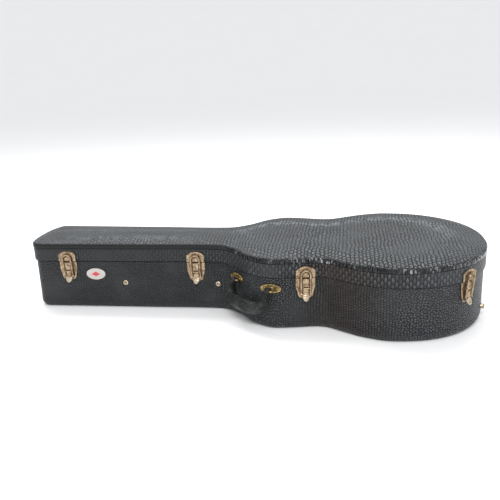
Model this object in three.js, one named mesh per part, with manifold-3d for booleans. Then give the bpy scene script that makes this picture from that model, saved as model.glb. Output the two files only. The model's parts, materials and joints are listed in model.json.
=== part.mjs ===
// Hard-shell guitar case: a tray and a lid of bent ply on a waisted outline, joined by three hinges,
// closed by four draw latches and carried by a swinging grip. Millimetres, +Z up, floor at Z = 0.
// X runs from the head end (-) to the tail end (+); the latches and the grip are on the -Y side.
import * as THREE from 'three';
import { mergeVertices } from 'three/addons/utils/BufferGeometryUtils.js';
import Module from 'manifold-3d';

const wasm = await Module();
wasm.setup();

// ---------------------------------------------------------------- driving dimensions
const PARTING_Z = 122;            // where lid and tray meet
const LID_TOP_Z = 165.5;          // height of the lid's upper edge
const GAP = 0.3;                  // play between touching pieces
const WALL = 5;                   // bent ply, with its covering
const TRAY_INSET = 4;             // the tray stands back from the lid's skirt
const CORNER_R = 16;              // rounded lower edge of the tray
const CROWN_EDGE = 8.5;           // rise of the arched top over its first CROWN_RUN
const CROWN_RUN = 46;
const CROWN_MIDDLE = 4.5;         // further rise in the middle of the widest part
const BOUT_HALF = 232.5;          // half width of the lower bout
const HEAD_HALF = 87;             // half width at the head end
const VALANCE = { inset: 9.8, thick: 3, low: 92, high: 130 };
const SIDE_PAD = { inset: 9.8, thick: 12.2, low: 18.1, high: 91.7 };
const FLOOR_PAD_TOP = 17.8;

// Half width of the lid's outline along X, between the two rounded ends.
const HEAD_ROUND = { centre: -508, reach: 32, power: 2.5 };
const TAIL_ROUND = { centre: 330, reach: 220, power: 2.2 };
const STATIONS = [
  [-508, HEAD_HALF], [-350, 83], [-220, 80], [-100, 76.5], [-60, 78], [-20, 104], [30, 161],
  [80, 182.5], [130, 176], [180, 167], [230, 193], [270, 216], [330, BOUT_HALF], [400, 226],
];

// Neck storage box, between the two neck walls.
const BOX = { x0: -247, x1: -95, half: 54, sideThick: 3.4, sideTop: 51.7, lidThick: 3.2 };
const CRADLE = { thick: 25, high: 91.7, notchHalf: 31, notchFloor: 60 };
const BOX_HINGE = { y: 50.2, z: 57.6, pin: 1.2, barrel: 2.5 };

// Draw latch, seen from its own base plate: u along the wall, w outwards, z up.
const LATCH_X = [-438, -117, 151, 490];
const LATCH = {
  half: 21.5, low: 75, high: 120.5, plate: 1.2, keeperLow: 122.9, keeperHigh: 148,
  pivotW: 4.5, pivotZ: 96.5, hookW: 4.9, hookZ: 84, pin: 1.2, bore: 1.28, knuckle: 2.6,
};

// Grip: swings on two staples about a line that spans the curve of the upper bout.
const GRIP = { x: 23.7, y: -154.9, z: 95.5, turn: -38.7, tilt: 18, eye: 55.5, bar: 2.2, bore: 2.29 };
const GRIP_PLATES = [['left', -14], ['right', 74.5]];

const HINGE = { barrel: 3.2, pin: 1.5, bore: 1.59, offset: 5, segment: 12 };
const HINGE_X = [-495, 72, 316];
const STUD_X = [-295, -65];
const BADGE = { x: -369, z: 89, halfWide: 24, halfHigh: 14.5 };

// ---------------------------------------------------------------- materials
const material = (color, roughness, metalness = 0) => new THREE.MeshStandardMaterial({
  color, roughness, metalness,
});
const VINYL = material(0x1c1b1d, 0.45);
const GLOSS_EDGE = material(0x0b0b0c, 0.22);
const PLUSH = material(0x2b2430, 0.95);
const PLY = material(0xb08a5a, 0.7);
const BRASS = material(0xb39b78, 0.35, 0.9);
const GRIP_BLACK = material(0x141415, 0.4);
const ENAMEL_WHITE = material(0xd8d6d0, 0.35);
const ENAMEL_RED = material(0xa82a26, 0.4);
const RIBBON = material(0x3a2c22, 0.8);

// ---------------------------------------------------------------- the outline
// Monotone cubic through the stations, flat where the widths turn back.
function stationSlopes(points) {
  const secants = [];
  for (let i = 0; i + 1 < points.length; i++) {
    secants.push((points[i + 1][1] - points[i][1]) / (points[i + 1][0] - points[i][0]));
  }
  return points.map((_, i) => {
    const before = secants[i - 1];
    const after = secants[i];
    if (i === 0 || i === points.length - 1) return after ?? before;
    return before * after <= 0 ? 0 : (2 * before * after) / (before + after);
  });
}

const SLOPES = stationSlopes(STATIONS);

function halfWidth(x) {
  let i = 0;
  while (x > STATIONS[i + 1][0]) i++;
  const [x0, y0] = STATIONS[i];
  const [x1, y1] = STATIONS[i + 1];
  const span = x1 - x0;
  const t = (x - x0) / span;
  const s = 1 - t;
  return y0 * s * s * (1 + 2 * t) + y1 * t * t * (1 + 2 * s)
    + span * t * s * (SLOPES[i] * s - SLOPES[i + 1] * t);
}

// The +Y half of the outline, from the tail tip round to the head tip, in fine steps.
function fineHalf() {
  const points = [];
  const steps = 240;
  for (let i = 0; i < steps; i++) {
    const a = (i / steps) * Math.PI / 2;
    points.push([
      TAIL_ROUND.centre + TAIL_ROUND.reach * Math.cos(a) ** (2 / TAIL_ROUND.power),
      BOUT_HALF * Math.sin(a) ** (2 / TAIL_ROUND.power),
    ]);
  }
  for (let x = TAIL_ROUND.centre; x > HEAD_ROUND.centre; x -= 2) points.push([x, halfWidth(x)]);
  for (let i = 0; i <= steps; i++) {
    const a = (i / steps) * Math.PI / 2;
    points.push([
      HEAD_ROUND.centre - HEAD_ROUND.reach * Math.sin(a) ** (2 / HEAD_ROUND.power),
      HEAD_HALF * Math.max(Math.cos(a), 0) ** (2 / HEAD_ROUND.power),
    ]);
  }
  return points;
}

// Closes a half outline into a loop and gives every point its outward normal.
function mirroredLoop(half) {
  const back = half.slice(1, -1).reverse().map(([x, y]) => [x, -y]);
  const loop = [...half, ...back];
  return loop.map(([x, y], i) => {
    const a = loop[(i + loop.length - 1) % loop.length];
    const b = loop[(i + 1) % loop.length];
    const length = Math.hypot(b[0] - a[0], b[1] - a[1]);
    return { x, y, nx: (b[1] - a[1]) / length, ny: -(b[0] - a[0]) / length };
  });
}

const FINE = mirroredLoop(fineHalf());

// Keeps the points where the outline has turned or run on enough to need one.
function sparseOutline(maxTurn, maxRun) {
  const tips = FINE.length / 2;
  const kept = [];
  let spent = 0;
  for (let i = 1; i < tips; i++) {
    const point = FINE[i];
    const before = FINE[i - 1];
    const turn = Math.acos(Math.min(1, point.nx * before.nx + point.ny * before.ny));
    spent += turn / maxTurn + Math.hypot(point.x - before.x, point.y - before.y) / maxRun;
    if (spent >= 1) {
      kept.push(point);
      spent = 0;
    }
  }
  const back = kept.map((p) => ({ ...p, y: -p.y, ny: -p.ny })).reverse();
  return [FINE[0], ...kept, FINE[tips], ...back];
}

const OUTLINE = sparseOutline(0.2, 120);
const DEEP = 12;                  // beyond this inset the rings run straight to the centre line

// A point of the outline moved inwards: square to the wall at first, then towards the centre line.
function insetPoint(point, inset, share = 0) {
  const square = Math.min(inset, DEEP);
  const x = point.x - point.nx * square;
  const y = point.y - point.ny * square;
  const anchor = THREE.MathUtils.clamp(x, HEAD_ROUND.centre + 28, TAIL_ROUND.centre);
  const reach = Math.hypot(anchor - x, y);
  const facing = Math.abs((x - anchor) * point.nx + y * point.ny) / reach;
  const walk = Math.min((inset - square) / facing / reach, 0.8);
  const part = walk + (1 - walk) * share;
  return [x + (anchor - x) * part, y * (1 - part)];
}

// Rise of the arched top at a point, from how far it lies inside the edge.
function crown(distance) {
  const edge = Math.sin((Math.PI / 2) * Math.min(distance / CROWN_RUN, 1));
  const middle = 1 - (1 - Math.min(distance / BOUT_HALF, 1)) ** 2;
  return CROWN_EDGE * edge + CROWN_MIDDLE * middle;
}

// ---------------------------------------------------------------- solids swept round the outline
// rings: { inset, z, share, arched }; a closed section makes a hoop, an open one is capped.
function sweptSolid(rings, closed) {
  const count = OUTLINE.length;
  const positions = [];
  for (const ring of rings) {
    for (const point of OUTLINE) {
      const [x, y] = insetPoint(point, ring.inset, ring.share ?? 0);
      const distance = Math.hypot(point.x - x, point.y - y);
      positions.push(x, y, ring.z + (ring.arched ? crown(distance) : 0));
    }
  }
  const index = [];
  const last = closed ? rings.length : rings.length - 1;
  for (let j = 0; j < last; j++) {
    const low = j * count;
    const high = ((j + 1) % rings.length) * count;
    for (let i = 0; i < count; i++) {
      const k = (i + 1) % count;
      index.push(low + i, low + k, high + k, low + i, high + k, high + i);
    }
  }
  if (!closed) {
    const top = (rings.length - 1) * count;
    const flat = OUTLINE.map((_, i) => new THREE.Vector2(
      positions[3 * (top + i)],
      positions[3 * (top + i) + 1],
    ));
    for (const [a, b, c] of THREE.ShapeUtils.triangulateShape(flat, [])) {
      index.push(top + a, top + b, top + c);
    }
    const under = OUTLINE.map((_, i) => new THREE.Vector2(positions[3 * i], positions[3 * i + 1]));
    for (const [a, b, c] of THREE.ShapeUtils.triangulateShape(under, [])) index.push(c, b, a);
  }
  const geometry = new THREE.BufferGeometry();
  geometry.setAttribute('position', new THREE.Float32BufferAttribute(positions, 3));
  geometry.setIndex(index);
  return geometry;
}

// A hoop of rectangular section between two insets and two heights.
function hoop(outer, inner, low, high) {
  return sweptSolid([
    { inset: inner, z: low }, { inset: outer, z: low },
    { inset: outer, z: high }, { inset: inner, z: high },
  ], true);
}

// ---------------------------------------------------------------- joining and cutting
function toSolid(geometry) {
  const bare = new THREE.BufferGeometry();
  bare.setAttribute('position', geometry.getAttribute('position'));
  bare.setIndex(geometry.getIndex());
  const merged = mergeVertices(bare, 1e-4);
  const mesh = new wasm.Mesh({
    numProp: 3,
    vertProperties: new Float32Array(merged.getAttribute('position').array),
    triVerts: new Uint32Array(merged.getIndex().array),
  });
  return new wasm.Manifold(mesh);
}

function toGeometry(solid) {
  const mesh = solid.getMesh();
  const geometry = new THREE.BufferGeometry();
  geometry.setAttribute('position', new THREE.Float32BufferAttribute(mesh.vertProperties, 3));
  geometry.setIndex(new THREE.Uint32BufferAttribute(mesh.triVerts, 1));
  return geometry;
}

const join = (...parts) => toGeometry(parts.map(toSolid).reduce((a, b) => a.add(b)));
const cut = (body, ...tools) => toGeometry(
  tools.map(toSolid).reduce((left, tool) => left.subtract(tool), toSolid(body)),
);

// ---------------------------------------------------------------- small shapes in a wall's own frame
// Local frame: +X along the wall, -Y outwards, +Z up; w counts outwards from the frame's origin.
const basis = (x, y, z) => new THREE.Matrix4().makeBasis(
  new THREE.Vector3(...x),
  new THREE.Vector3(...y),
  new THREE.Vector3(...z),
);
const FRONT = basis([1, 0, 0], [0, 0, 1], [0, -1, 0]);
const SIDE = basis([0, -1, 0], [0, 0, 1], [-1, 0, 0]);

const prism = (shape, depth) => new THREE.ExtrudeGeometry(shape, {
  depth, bevelEnabled: false, curveSegments: 6,
});
const polygon = (points) => new THREE.Shape(points.map(([x, y]) => new THREE.Vector2(x, y)));

// A plate drawn in (u, z), from depth w0 to w1.
function frontPlate(shape, w0, w1) {
  return prism(shape, w1 - w0).translate(0, 0, w0).applyMatrix4(FRONT);
}

// A bar drawn in (w, z), as wide as twice half, centred on u.
function sideBar(points, half, u = 0) {
  return prism(polygon(points), 2 * half).translate(0, 0, -half - u).applyMatrix4(SIDE);
}

// A round bar along u, about the line (w, z).
function crossPin(radius, half, w, z, u = 0, sides = 16) {
  return new THREE.CylinderGeometry(radius, radius, 2 * half, sides)
    .rotateZ(Math.PI / 2)
    .translate(u, -w, z);
}

const block = (x0, x1, y0, y1, z0, z1) => new THREE.BoxGeometry(x1 - x0, y1 - y0, z1 - z0)
  .translate((x0 + x1) / 2, (y0 + y1) / 2, (z0 + z1) / 2);

const ellipse = (a, b) => new THREE.Shape().absellipse(0, 0, a, b, 0, 2 * Math.PI);

// Points along the faceted wall at an inset, a few on every facet.
function wallPoints(inset, perFacet) {
  const corners = OUTLINE.map((p) => ({ ...p, x: p.x - p.nx * inset, y: p.y - p.ny * inset }));
  return corners.flatMap((a, i) => {
    const b = corners[(i + 1) % corners.length];
    return Array.from({ length: perFacet }, (_, k) => {
      const t = k / perFacet;
      return { x: a.x + (b.x - a.x) * t, y: a.y + (b.y - a.y) * t };
    });
  });
}

// Where a flat plate of a given half width seats on the wall at X: it rests on the wall's high spots.
function seat(x, side, inset, half) {
  const sameSide = FINE.filter((p) => p.y * side > 0);
  const at = sameSide.reduce((a, b) => (Math.abs(b.x - x) < Math.abs(a.x - x) ? b : a));
  let height = -Infinity;
  for (const p of wallPoints(inset, 16)) {
    const u = (p.y - at.y) * at.nx - (p.x - at.x) * at.ny;
    const w = (p.x - at.x) * at.nx + (p.y - at.y) * at.ny;
    if (Math.abs(u) < half + 2 && w > -60) height = Math.max(height, w);
  }
  height += GAP;
  return {
    x: at.x + at.nx * height,
    y: at.y + at.ny * height,
    turn: Math.atan2(at.ny, at.nx) + Math.PI / 2,
    height,
  };
}

const group = new THREE.Group();

function add(name, geometry, look, place) {
  const mesh = new THREE.Mesh(geometry, look);
  mesh.name = name;
  if (place) {
    mesh.position.set(place.x, place.y, place.z ?? 0);
    mesh.rotation.z = place.turn ?? 0;
  }
  group.add(mesh);
  return mesh;
}

// ---------------------------------------------------------------- tray
function addTray() {
  const outer = TRAY_INSET;
  const inner = TRAY_INSET + WALL + 0.5;
  add('base_side_wall', hoop(outer, inner, CORNER_R + 2.3, PARTING_Z - 0.5), VINYL);
  const rise = (step) => (step / 4) * (Math.PI / 2);
  const foot = [0, 1, 2, 3, 4].map((step) => ({
    inset: outer + CORNER_R * (1 - Math.sin(rise(step))),
    z: CORNER_R * (1 - Math.cos(rise(step))),
  }));
  add('base_bottom_panel', sweptSolid([
    ...foot,
    { inset: outer, z: CORNER_R + 2 }, { inset: inner, z: CORNER_R + 2 },
    { inset: inner + 1.4, z: 12.6 }, { inset: inner + 4.8, z: 8.2 }, { inset: inner + 10, z: 6 },
  ], false), VINYL);
  add('base_floor_pad', sweptSolid([
    { inset: inner + 10.6, z: 6.3 }, { inset: inner + 5.6, z: 8.5 }, { inset: inner + 2, z: 13 },
    { inset: inner + 1.2, z: FLOOR_PAD_TOP },
  ], false), PLUSH);
  add('base_side_pad', hoop(
    SIDE_PAD.inset,
    SIDE_PAD.inset + SIDE_PAD.thick,
    SIDE_PAD.low,
    SIDE_PAD.high,
  ), PLUSH);
  add('base_valance', hoop(
    VALANCE.inset,
    VALANCE.inset + VALANCE.thick,
    VALANCE.low,
    VALANCE.high,
  ), PLUSH);
}

// Storage box under the guitar's neck, with the cradle that carries the neck as its tall end.
function addNeckBox() {
  const low = FLOOR_PAD_TOP + GAP;
  const cradleHalf = 53;
  const notch = new THREE.Shape();
  notch.moveTo(-cradleHalf, low);
  notch.lineTo(cradleHalf, low);
  notch.lineTo(cradleHalf, CRADLE.high);
  notch.lineTo(CRADLE.notchHalf, CRADLE.high);
  notch.lineTo(CRADLE.notchHalf, CRADLE.notchFloor + 12);
  notch.absarc(CRADLE.notchHalf - 12, CRADLE.notchFloor + 12, 12, 0, -Math.PI / 2, true);
  notch.absarc(-CRADLE.notchHalf + 12, CRADLE.notchFloor + 12, 12, -Math.PI / 2, -Math.PI, true);
  notch.lineTo(-CRADLE.notchHalf, CRADLE.high);
  notch.lineTo(-cradleHalf, CRADLE.high);
  const upright = basis([0, 1, 0], [0, 0, 1], [1, 0, 0]);
  add('neck_cradle', prism(notch, CRADLE.thick).applyMatrix4(upright), PLUSH, { x: BOX.x1, y: 0 });
  add('compartment_end_panel', block(-8, 0, -56, 56, low, BOX.sideTop), PLUSH, { x: BOX.x0, y: 0 });
  for (const [name, side] of [['front', -1], ['back', 1]]) {
    const y = side * (BOX.half - BOX.sideThick / 2 - 1.5);
    const half = BOX.sideThick / 2;
    add(`compartment_${name}_panel`, block(
      BOX.x0 + GAP,
      BOX.x1 - GAP,
      y - half,
      y + half,
      low,
      BOX.sideTop,
    ), PLY);
  }
  const z0 = BOX.sideTop + GAP;
  const x0 = BOX.x0 + 1;
  const x1 = BOX.x1 - 2;
  const middle = (x0 + x1) / 2;
  const rod = (radius, half) => new THREE.CylinderGeometry(radius, radius, 2 * half, 16)
    .rotateZ(Math.PI / 2)
    .translate(middle, BOX_HINGE.y, BOX_HINGE.z);
  const barrelHalf = 62;
  const tray = block(x0, x1, -48, 45.5, z0, z0 + BOX.lidThick);
  const link = block(middle - barrelHalf, middle + barrelHalf, 45, BOX_HINGE.y, z0 + 1.2, z0 + 4.4);
  const lidBody = join(tray, link, rod(BOX_HINGE.barrel, barrelHalf));
  add('compartment_lid', cut(lidBody, rod(BOX_HINGE.pin + 0.08, 100)), PLUSH);
  add('compartment_hinge_rod', rod(BOX_HINGE.pin, 70), BRASS);
  add('compartment_pull_tab', block(
    middle - 9,
    middle + 9,
    -47,
    -20,
    z0 + BOX.lidThick + GAP,
    z0 + BOX.lidThick + GAP + 1.6,
  ), RIBBON);
}

// ---------------------------------------------------------------- lid
function addLid() {
  const low = PARTING_Z + 0.5;
  const beadLow = 154;
  const shoulder = 160;
  add('lid_side_wall', sweptSolid([
    { inset: WALL, z: low }, { inset: 0, z: low }, { inset: 0, z: beadLow - GAP },
    { inset: 2.3, z: beadLow - GAP }, { inset: 2.3, z: shoulder }, { inset: WALL, z: shoulder },
  ], true), VINYL);
  add('lid_edge_bead', sweptSolid([
    { inset: 2, z: beadLow }, { inset: -0.4, z: beadLow }, { inset: -1, z: beadLow + 2 },
    { inset: -1, z: LID_TOP_Z - 2.5 }, { inset: 0.3, z: LID_TOP_Z + 0.4 },
    { inset: 2, z: LID_TOP_Z + 0.4 },
  ], true), GLOSS_EDGE);
  const under = shoulder + GAP;
  add('lid_top_panel', sweptSolid([
    { inset: CROWN_RUN, z: under, arched: true, share: 0.45 },
    { inset: CROWN_RUN, z: under, arched: true }, { inset: 28, z: under, arched: true },
    { inset: 12, z: under, arched: true }, { inset: 2.3, z: under },
    { inset: 2.3, z: LID_TOP_Z }, { inset: 12, z: LID_TOP_Z, arched: true },
    { inset: 28, z: LID_TOP_Z, arched: true }, { inset: CROWN_RUN, z: LID_TOP_Z, arched: true },
    { inset: CROWN_RUN, z: LID_TOP_Z, arched: true, share: 0.45 },
  ], false), VINYL);
  add('lid_side_lining', hoop(WALL + GAP, WALL + 3.7, low + 0.5, shoulder - GAP), PLUSH);
  const padUnder = 154.4;
  const padTop = under - GAP;
  add('lid_ceiling_pad', sweptSolid([
    { inset: CROWN_RUN, z: padUnder, arched: true, share: 0.45 },
    { inset: CROWN_RUN, z: padUnder, arched: true }, { inset: 24, z: padUnder, arched: true },
    { inset: 9, z: padUnder, arched: true }, { inset: 9, z: padTop, arched: true },
    { inset: 24, z: padTop - 0.4, arched: true }, { inset: CROWN_RUN, z: padTop - 0.4, arched: true },
    { inset: CROWN_RUN, z: padTop - 0.4, arched: true, share: 0.45 },
  ], false), PLUSH);
}

// ---------------------------------------------------------------- draw latches
function shieldShape() {
  const shape = new THREE.Shape();
  shape.moveTo(-LATCH.half, LATCH.high);
  shape.lineTo(-LATCH.half, 103);
  shape.bezierCurveTo(-LATCH.half, 96, -18.5, 95, -17.2, 84);
  shape.absarc(-8.2, 84, 9, Math.PI, 1.5 * Math.PI, false);
  shape.absarc(8.2, 84, 9, 1.5 * Math.PI, 2 * Math.PI, false);
  shape.bezierCurveTo(18.5, 95, LATCH.half, 96, LATCH.half, 103);
  shape.lineTo(LATCH.half, LATCH.high);
  return shape;
}

function archShape(half, low, spring) {
  const shape = new THREE.Shape();
  shape.moveTo(-half, low);
  shape.lineTo(half, low);
  shape.lineTo(half, spring);
  shape.absarc(0, spring, half, 0, Math.PI, false);
  return shape;
}

function keeperShape() {
  const shape = new THREE.Shape();
  shape.moveTo(-LATCH.half, LATCH.keeperLow);
  shape.lineTo(LATCH.half, LATCH.keeperLow);
  shape.lineTo(LATCH.half, LATCH.keeperHigh - 9);
  shape.lineTo(20, LATCH.keeperHigh - 7.5);
  shape.quadraticCurveTo(0, LATCH.keeperHigh + 7.5, -20, LATCH.keeperHigh - 7.5);
  shape.lineTo(-LATCH.half, LATCH.keeperHigh - 9);
  return shape;
}

// Shield plate with its raised housing, two ears and the pin that the lever turns on.
function latchBasePlate() {
  const { pivotW, pivotZ, pin } = LATCH;
  const housing = frontPlate(polygon([[-7, 101], [7, 101], [7, 119.6], [-7, 119.6]]), 1, 6);
  const ear = (u) => sideBar([
    [1, 94], [pivotW + 1, 93.9], [pivotW + 2.2, 95.4], [pivotW + 2.2, 98], [5.6, 101.4], [1, 101.4],
  ], 1.15, u);
  const plate = frontPlate(shieldShape(), 0, LATCH.plate);
  return join(plate, housing, ear(-5.85), ear(5.85), crossPin(pin, 6.5, pivotW, pivotZ));
}

function latchLever() {
  const { pivotW, pivotZ, hookW, hookZ, bore, knuckle } = LATCH;
  const body = join(
    crossPin(knuckle, 4.4, pivotW, pivotZ),
    sideBar([[3.3, 88], [6.4, 88], [6.4, 96], [3.3, 96]], 4.4),
    sideBar([[3.3, 78], [6.6, 78], [6.4, 92.6], [3.3, 92.6]], 6.2),
    crossPin(knuckle, 6.2, hookW, hookZ),
    sideBar([[3.6, 82], [6.6, 82], [8.6, 76], [11.8, 70], [10.4, 69], [8, 71], [4.4, 76]], 8),
  );
  return cut(body, crossPin(bore, 8, pivotW, pivotZ), crossPin(bore, 12, hookW, hookZ));
}

function latchHasp(lift) {
  const { hookW, hookZ, pin, knuckle } = LATCH;
  const slab = sideBar([
    [3.2, hookZ], [6.9, hookZ], [11.6 + lift, 132], [11.6 + lift, 142],
    [8.9 + lift, 142], [8.9 + lift, 133],
  ], 12.2);
  const window = frontPlate(archShape(8.2, 60, 129), -5, 25);
  const outside = cut(
    frontPlate(polygon([[-30, 60], [30, 60], [30, 160], [-30, 160]]), -6, 26),
    frontPlate(archShape(12.2, 50, 129), -7, 27),
  );
  const legs = cut(slab, window, outside);
  return join(
    legs,
    crossPin(knuckle, 2, hookW, hookZ, -10.2),
    crossPin(knuckle, 2, hookW, hookZ, 10.2),
    crossPin(pin, 11, hookW, hookZ),
  );
}

function latchKeeper(step) {
  const plate = frontPlate(keeperShape(), step, step + LATCH.plate);
  const boss = frontPlate(archShape(7, 124, 127.6), step + 0.8, step + 4.4);
  return join(plate, boss);
}

function addLatches() {
  LATCH_X.forEach((x, i) => {
    const place = seat(x, -1, TRAY_INSET, LATCH.half);
    const lidSeat = seat(x, -1, 0, LATCH.half);
    const step = lidSeat.height - place.height;
    const n = i + 1;
    add(`latch_base_plate_${n}`, latchBasePlate(), BRASS, place);
    add(`latch_keeper_${n}`, latchKeeper(step), BRASS, place);
    add(`latch_lever_${n}`, latchLever(), BRASS, place);
    add(`latch_hasp_${n}`, latchHasp(step - TRAY_INSET), BRASS, place);
  });
}

// ---------------------------------------------------------------- carrying handle
const CHORD = { x: GRIP.x, y: GRIP.y, z: GRIP.z, turn: THREE.MathUtils.degToRad(GRIP.turn) };

// Centre line of the grip in its own plane: [u, drop below the axis, half thickness, half depth].
const GRIP_PATH = [
  [-55.5, -6.4, 4.6, 4.6], [-55.5, -4.5, 7, 7], [-55.5, 0, 7.8, 8], [-56, 7.5, 8, 8.6],
  [-56.6, 17, 9.2, 9.6], [-53.8, 28, 11, 11.4], [-45.5, 38, 13, 13], [-30, 44, 15, 14.6],
  [-10, 45.5, 16, 15.4],
];

function gripGeometry() {
  const path = [...GRIP_PATH, ...GRIP_PATH.map(([u, ...rest]) => [-u, ...rest]).reverse()];
  const sides = 12;
  const positions = [];
  path.forEach(([u, drop, thick, deep], i) => {
    const [ua, da] = path[Math.max(i - 1, 0)];
    const [ub, db] = path[Math.min(i + 1, path.length - 1)];
    const length = Math.hypot(ub - ua, db - da);
    const across = [(db - da) / length, -(ub - ua) / length];
    for (let k = 0; k < sides; k++) {
      const a = (k / sides) * 2 * Math.PI;
      const reach = thick * Math.cos(a);
      positions.push(u + across[0] * reach, -deep * Math.sin(a), -(drop + across[1] * reach));
    }
  });
  const index = [];
  for (let i = 0; i + 1 < path.length; i++) {
    for (let k = 0; k < sides; k++) {
      const a = i * sides + k;
      const b = i * sides + ((k + 1) % sides);
      index.push(a, b + sides, a + sides, a, b, b + sides);
    }
  }
  for (let k = 1; k + 1 < sides; k++) {
    index.push(0, k + 1, k);
    const end = (path.length - 1) * sides;
    index.push(end, end + k, end + k + 1);
  }
  const geometry = new THREE.BufferGeometry();
  geometry.setAttribute('position', new THREE.Float32BufferAttribute(positions, 3));
  geometry.setIndex(index);
  return geometry.rotateX(-THREE.MathUtils.degToRad(GRIP.tilt));
}

function addHandle() {
  for (const [name, x] of GRIP_PLATES) {
    const side = name === 'left' ? -1 : 1;
    const place = seat(x, -1, TRAY_INSET, 25);
    const thick = 1.6;
    const plate = frontPlate(ellipse(24, 10.5), 0, thick);
    add(`handle_plate_${name}`, plate, BRASS, { ...place, z: 97.5 });
    const arm = (u) => block(u - 1.9, u + 1.9, -GRIP.bar, 40, -3, 3);
    const bar = crossPin(GRIP.bar, 11.5, 0, 0, side * GRIP.eye);
    const staple = join(bar, arm(side * GRIP.eye - 11), arm(side * GRIP.eye + 11));
    const wallSide = block(-90, 90, -thick - GAP, 90, -30, 30)
      .rotateZ(place.turn)
      .translate(place.x - CHORD.x, place.y - CHORD.y, 0)
      .rotateZ(-CHORD.turn);
    add(`handle_staple_${name}`, cut(staple, wallSide), BRASS, CHORD);
  }
  const bore = (u) => crossPin(GRIP.bore, 14, 0, 0, u);
  add('handle_grip', cut(gripGeometry(), bore(-GRIP.eye), bore(GRIP.eye)), GRIP_BLACK, CHORD);
}

// ---------------------------------------------------------------- hinges on the +Y side
// The hinge line touches the outline at the head end and at the lower bout.
function hingeLine() {
  const lean = Math.atan2(BOUT_HALF - HEAD_HALF + 1, 840);
  const across = [-Math.sin(lean), Math.cos(lean)];
  const reach = Math.max(...FINE.map((p) => p.x * across[0] + p.y * across[1]));
  return { lean, along: [Math.cos(lean), Math.sin(lean)], across, reach: reach + HINGE.offset };
}

function addHinges() {
  const line = hingeLine();
  HINGE_X.forEach((x, i) => {
    const back = FINE.filter((p) => p.y > 0);
    const at = back.reduce((a, b) => (Math.abs(b.x - x) < Math.abs(a.x - x) ? b : a));
    const s0 = at.x * line.along[0] + at.y * line.along[1];
    const local = (p) => [
      p.x * line.along[0] + p.y * line.along[1] - s0,
      p.x * line.across[0] + p.y * line.across[1] - line.reach,
    ];
    const half = 1.5 * HINGE.segment;
    const wallPath = (inset) => wallPoints(inset, 4).filter((p) => p.y > 0).map(local)
      .filter(([s]) => Math.abs(s) <= half)
      .sort((a, b) => a[0] - b[0]);
    const leafShape = (inset, from, to, reachOut) => {
      const inside = wallPath(inset).filter(([s]) => s >= from && s <= to);
      const outside = reachOut === null
        ? wallPath(inset - 1.2).filter(([s]) => s >= from && s <= to).reverse()
        : [[to, reachOut], [from, reachOut]];
      return polygon([...inside, ...outside]);
    };
    const plan = (shape, z0, z1) => prism(shape, z1 - z0).translate(0, 0, z0);
    const barrel = (s, halfLength, radius) => new THREE.CylinderGeometry(
      radius,
      radius,
      2 * halfLength,
      16,
    ).rotateZ(Math.PI / 2).translate(s, 0, PARTING_Z);
    const place = {
      x: line.across[0] * line.reach + line.along[0] * s0,
      y: line.across[1] * line.reach + line.along[1] * s0,
      turn: line.lean,
    };
    const third = HINGE.segment / 2 - GAP / 2;
    const trayFace = TRAY_INSET - GAP;
    const lidFace = -GAP;
    const trayLeaf = join(
      plan(leafShape(trayFace, -half, half, null), 97, PARTING_Z - 0.8),
      plan(leafShape(trayFace - 0.6, -half, -HINGE.segment / 2 - GAP / 2, 0), 118.9, 121.2),
      plan(leafShape(trayFace - 0.6, HINGE.segment / 2 + GAP / 2, half, 0), 118.9, 121.2),
      barrel(-HINGE.segment, third, HINGE.barrel),
      barrel(HINGE.segment, third, HINGE.barrel),
      barrel(0, half - 1, HINGE.pin),
    );
    const lidLeaf = cut(join(
      plan(leafShape(lidFace, -half, half, null), PARTING_Z + 0.8, 147),
      plan(leafShape(lidFace - 0.6, -HINGE.segment / 2 + GAP / 2, HINGE.segment / 2 - GAP / 2, 0),
        122.8, 125.1),
      barrel(0, third, HINGE.barrel),
    ), barrel(0, 30, HINGE.bore));
    add(`hinge_base_leaf_${i + 1}`, trayLeaf, BRASS, place);
    add(`hinge_lid_leaf_${i + 1}`, lidLeaf, BRASS, place);
  });
}

// ---------------------------------------------------------------- studs, feet and badge
function dome(radius, height, shank = 0) {
  const profile = [[0, 0], [radius, 0], [radius, shank + height * 0.35]];
  for (let step = 1; step <= 3; step++) {
    const a = (step / 3) * (Math.PI / 2);
    profile.push([radius * Math.cos(a), shank + height * (0.35 + 0.65 * Math.sin(a))]);
  }
  const points = profile.map(([r, h]) => new THREE.Vector2(Math.max(r, 0), h));
  points[points.length - 1].x = 0;
  return new THREE.LatheGeometry(points, 12).rotateX(Math.PI);
}

function addFittings() {
  const stud = dome(6.5, 3.2);
  STUD_X.forEach((x, i) => {
    add(`stud_front_${i + 1}`, stud, BRASS, { ...seat(x, -1, TRAY_INSET, 6.5), z: 67.5 });
    add(`stud_back_${i + 1}`, stud, BRASS, { ...seat(x, 1, TRAY_INSET, 6.5), z: 67.5 });
  });
  const bumper = dome(7, 3.5, 4);
  for (const [name, side] of [['front', -1], ['back', 1]]) {
    add(`tail_bumper_${name}`, bumper, BRASS, { ...seat(541, side, TRAY_INSET, 7), z: 27.5 });
  }
  const place = { ...seat(BADGE.x, -1, TRAY_INSET, BADGE.halfWide), z: BADGE.z };
  add('badge_plate', frontPlate(ellipse(BADGE.halfWide, BADGE.halfHigh), 0, 1.4), ENAMEL_WHITE, place);
  const lozenge = polygon([[-11, 0], [0, -6], [11, 0], [0, 6]]);
  add('badge_emblem', frontPlate(lozenge, 1.4 + GAP, 2.4), ENAMEL_RED, place);
}

addTray();
addNeckBox();
addLid();
addLatches();
addHandle();
addHinges();
addFittings();

export default group;
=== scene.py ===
import json
import math

import bmesh
import bpy
import numpy as np
from mathutils import Matrix, Vector


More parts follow.
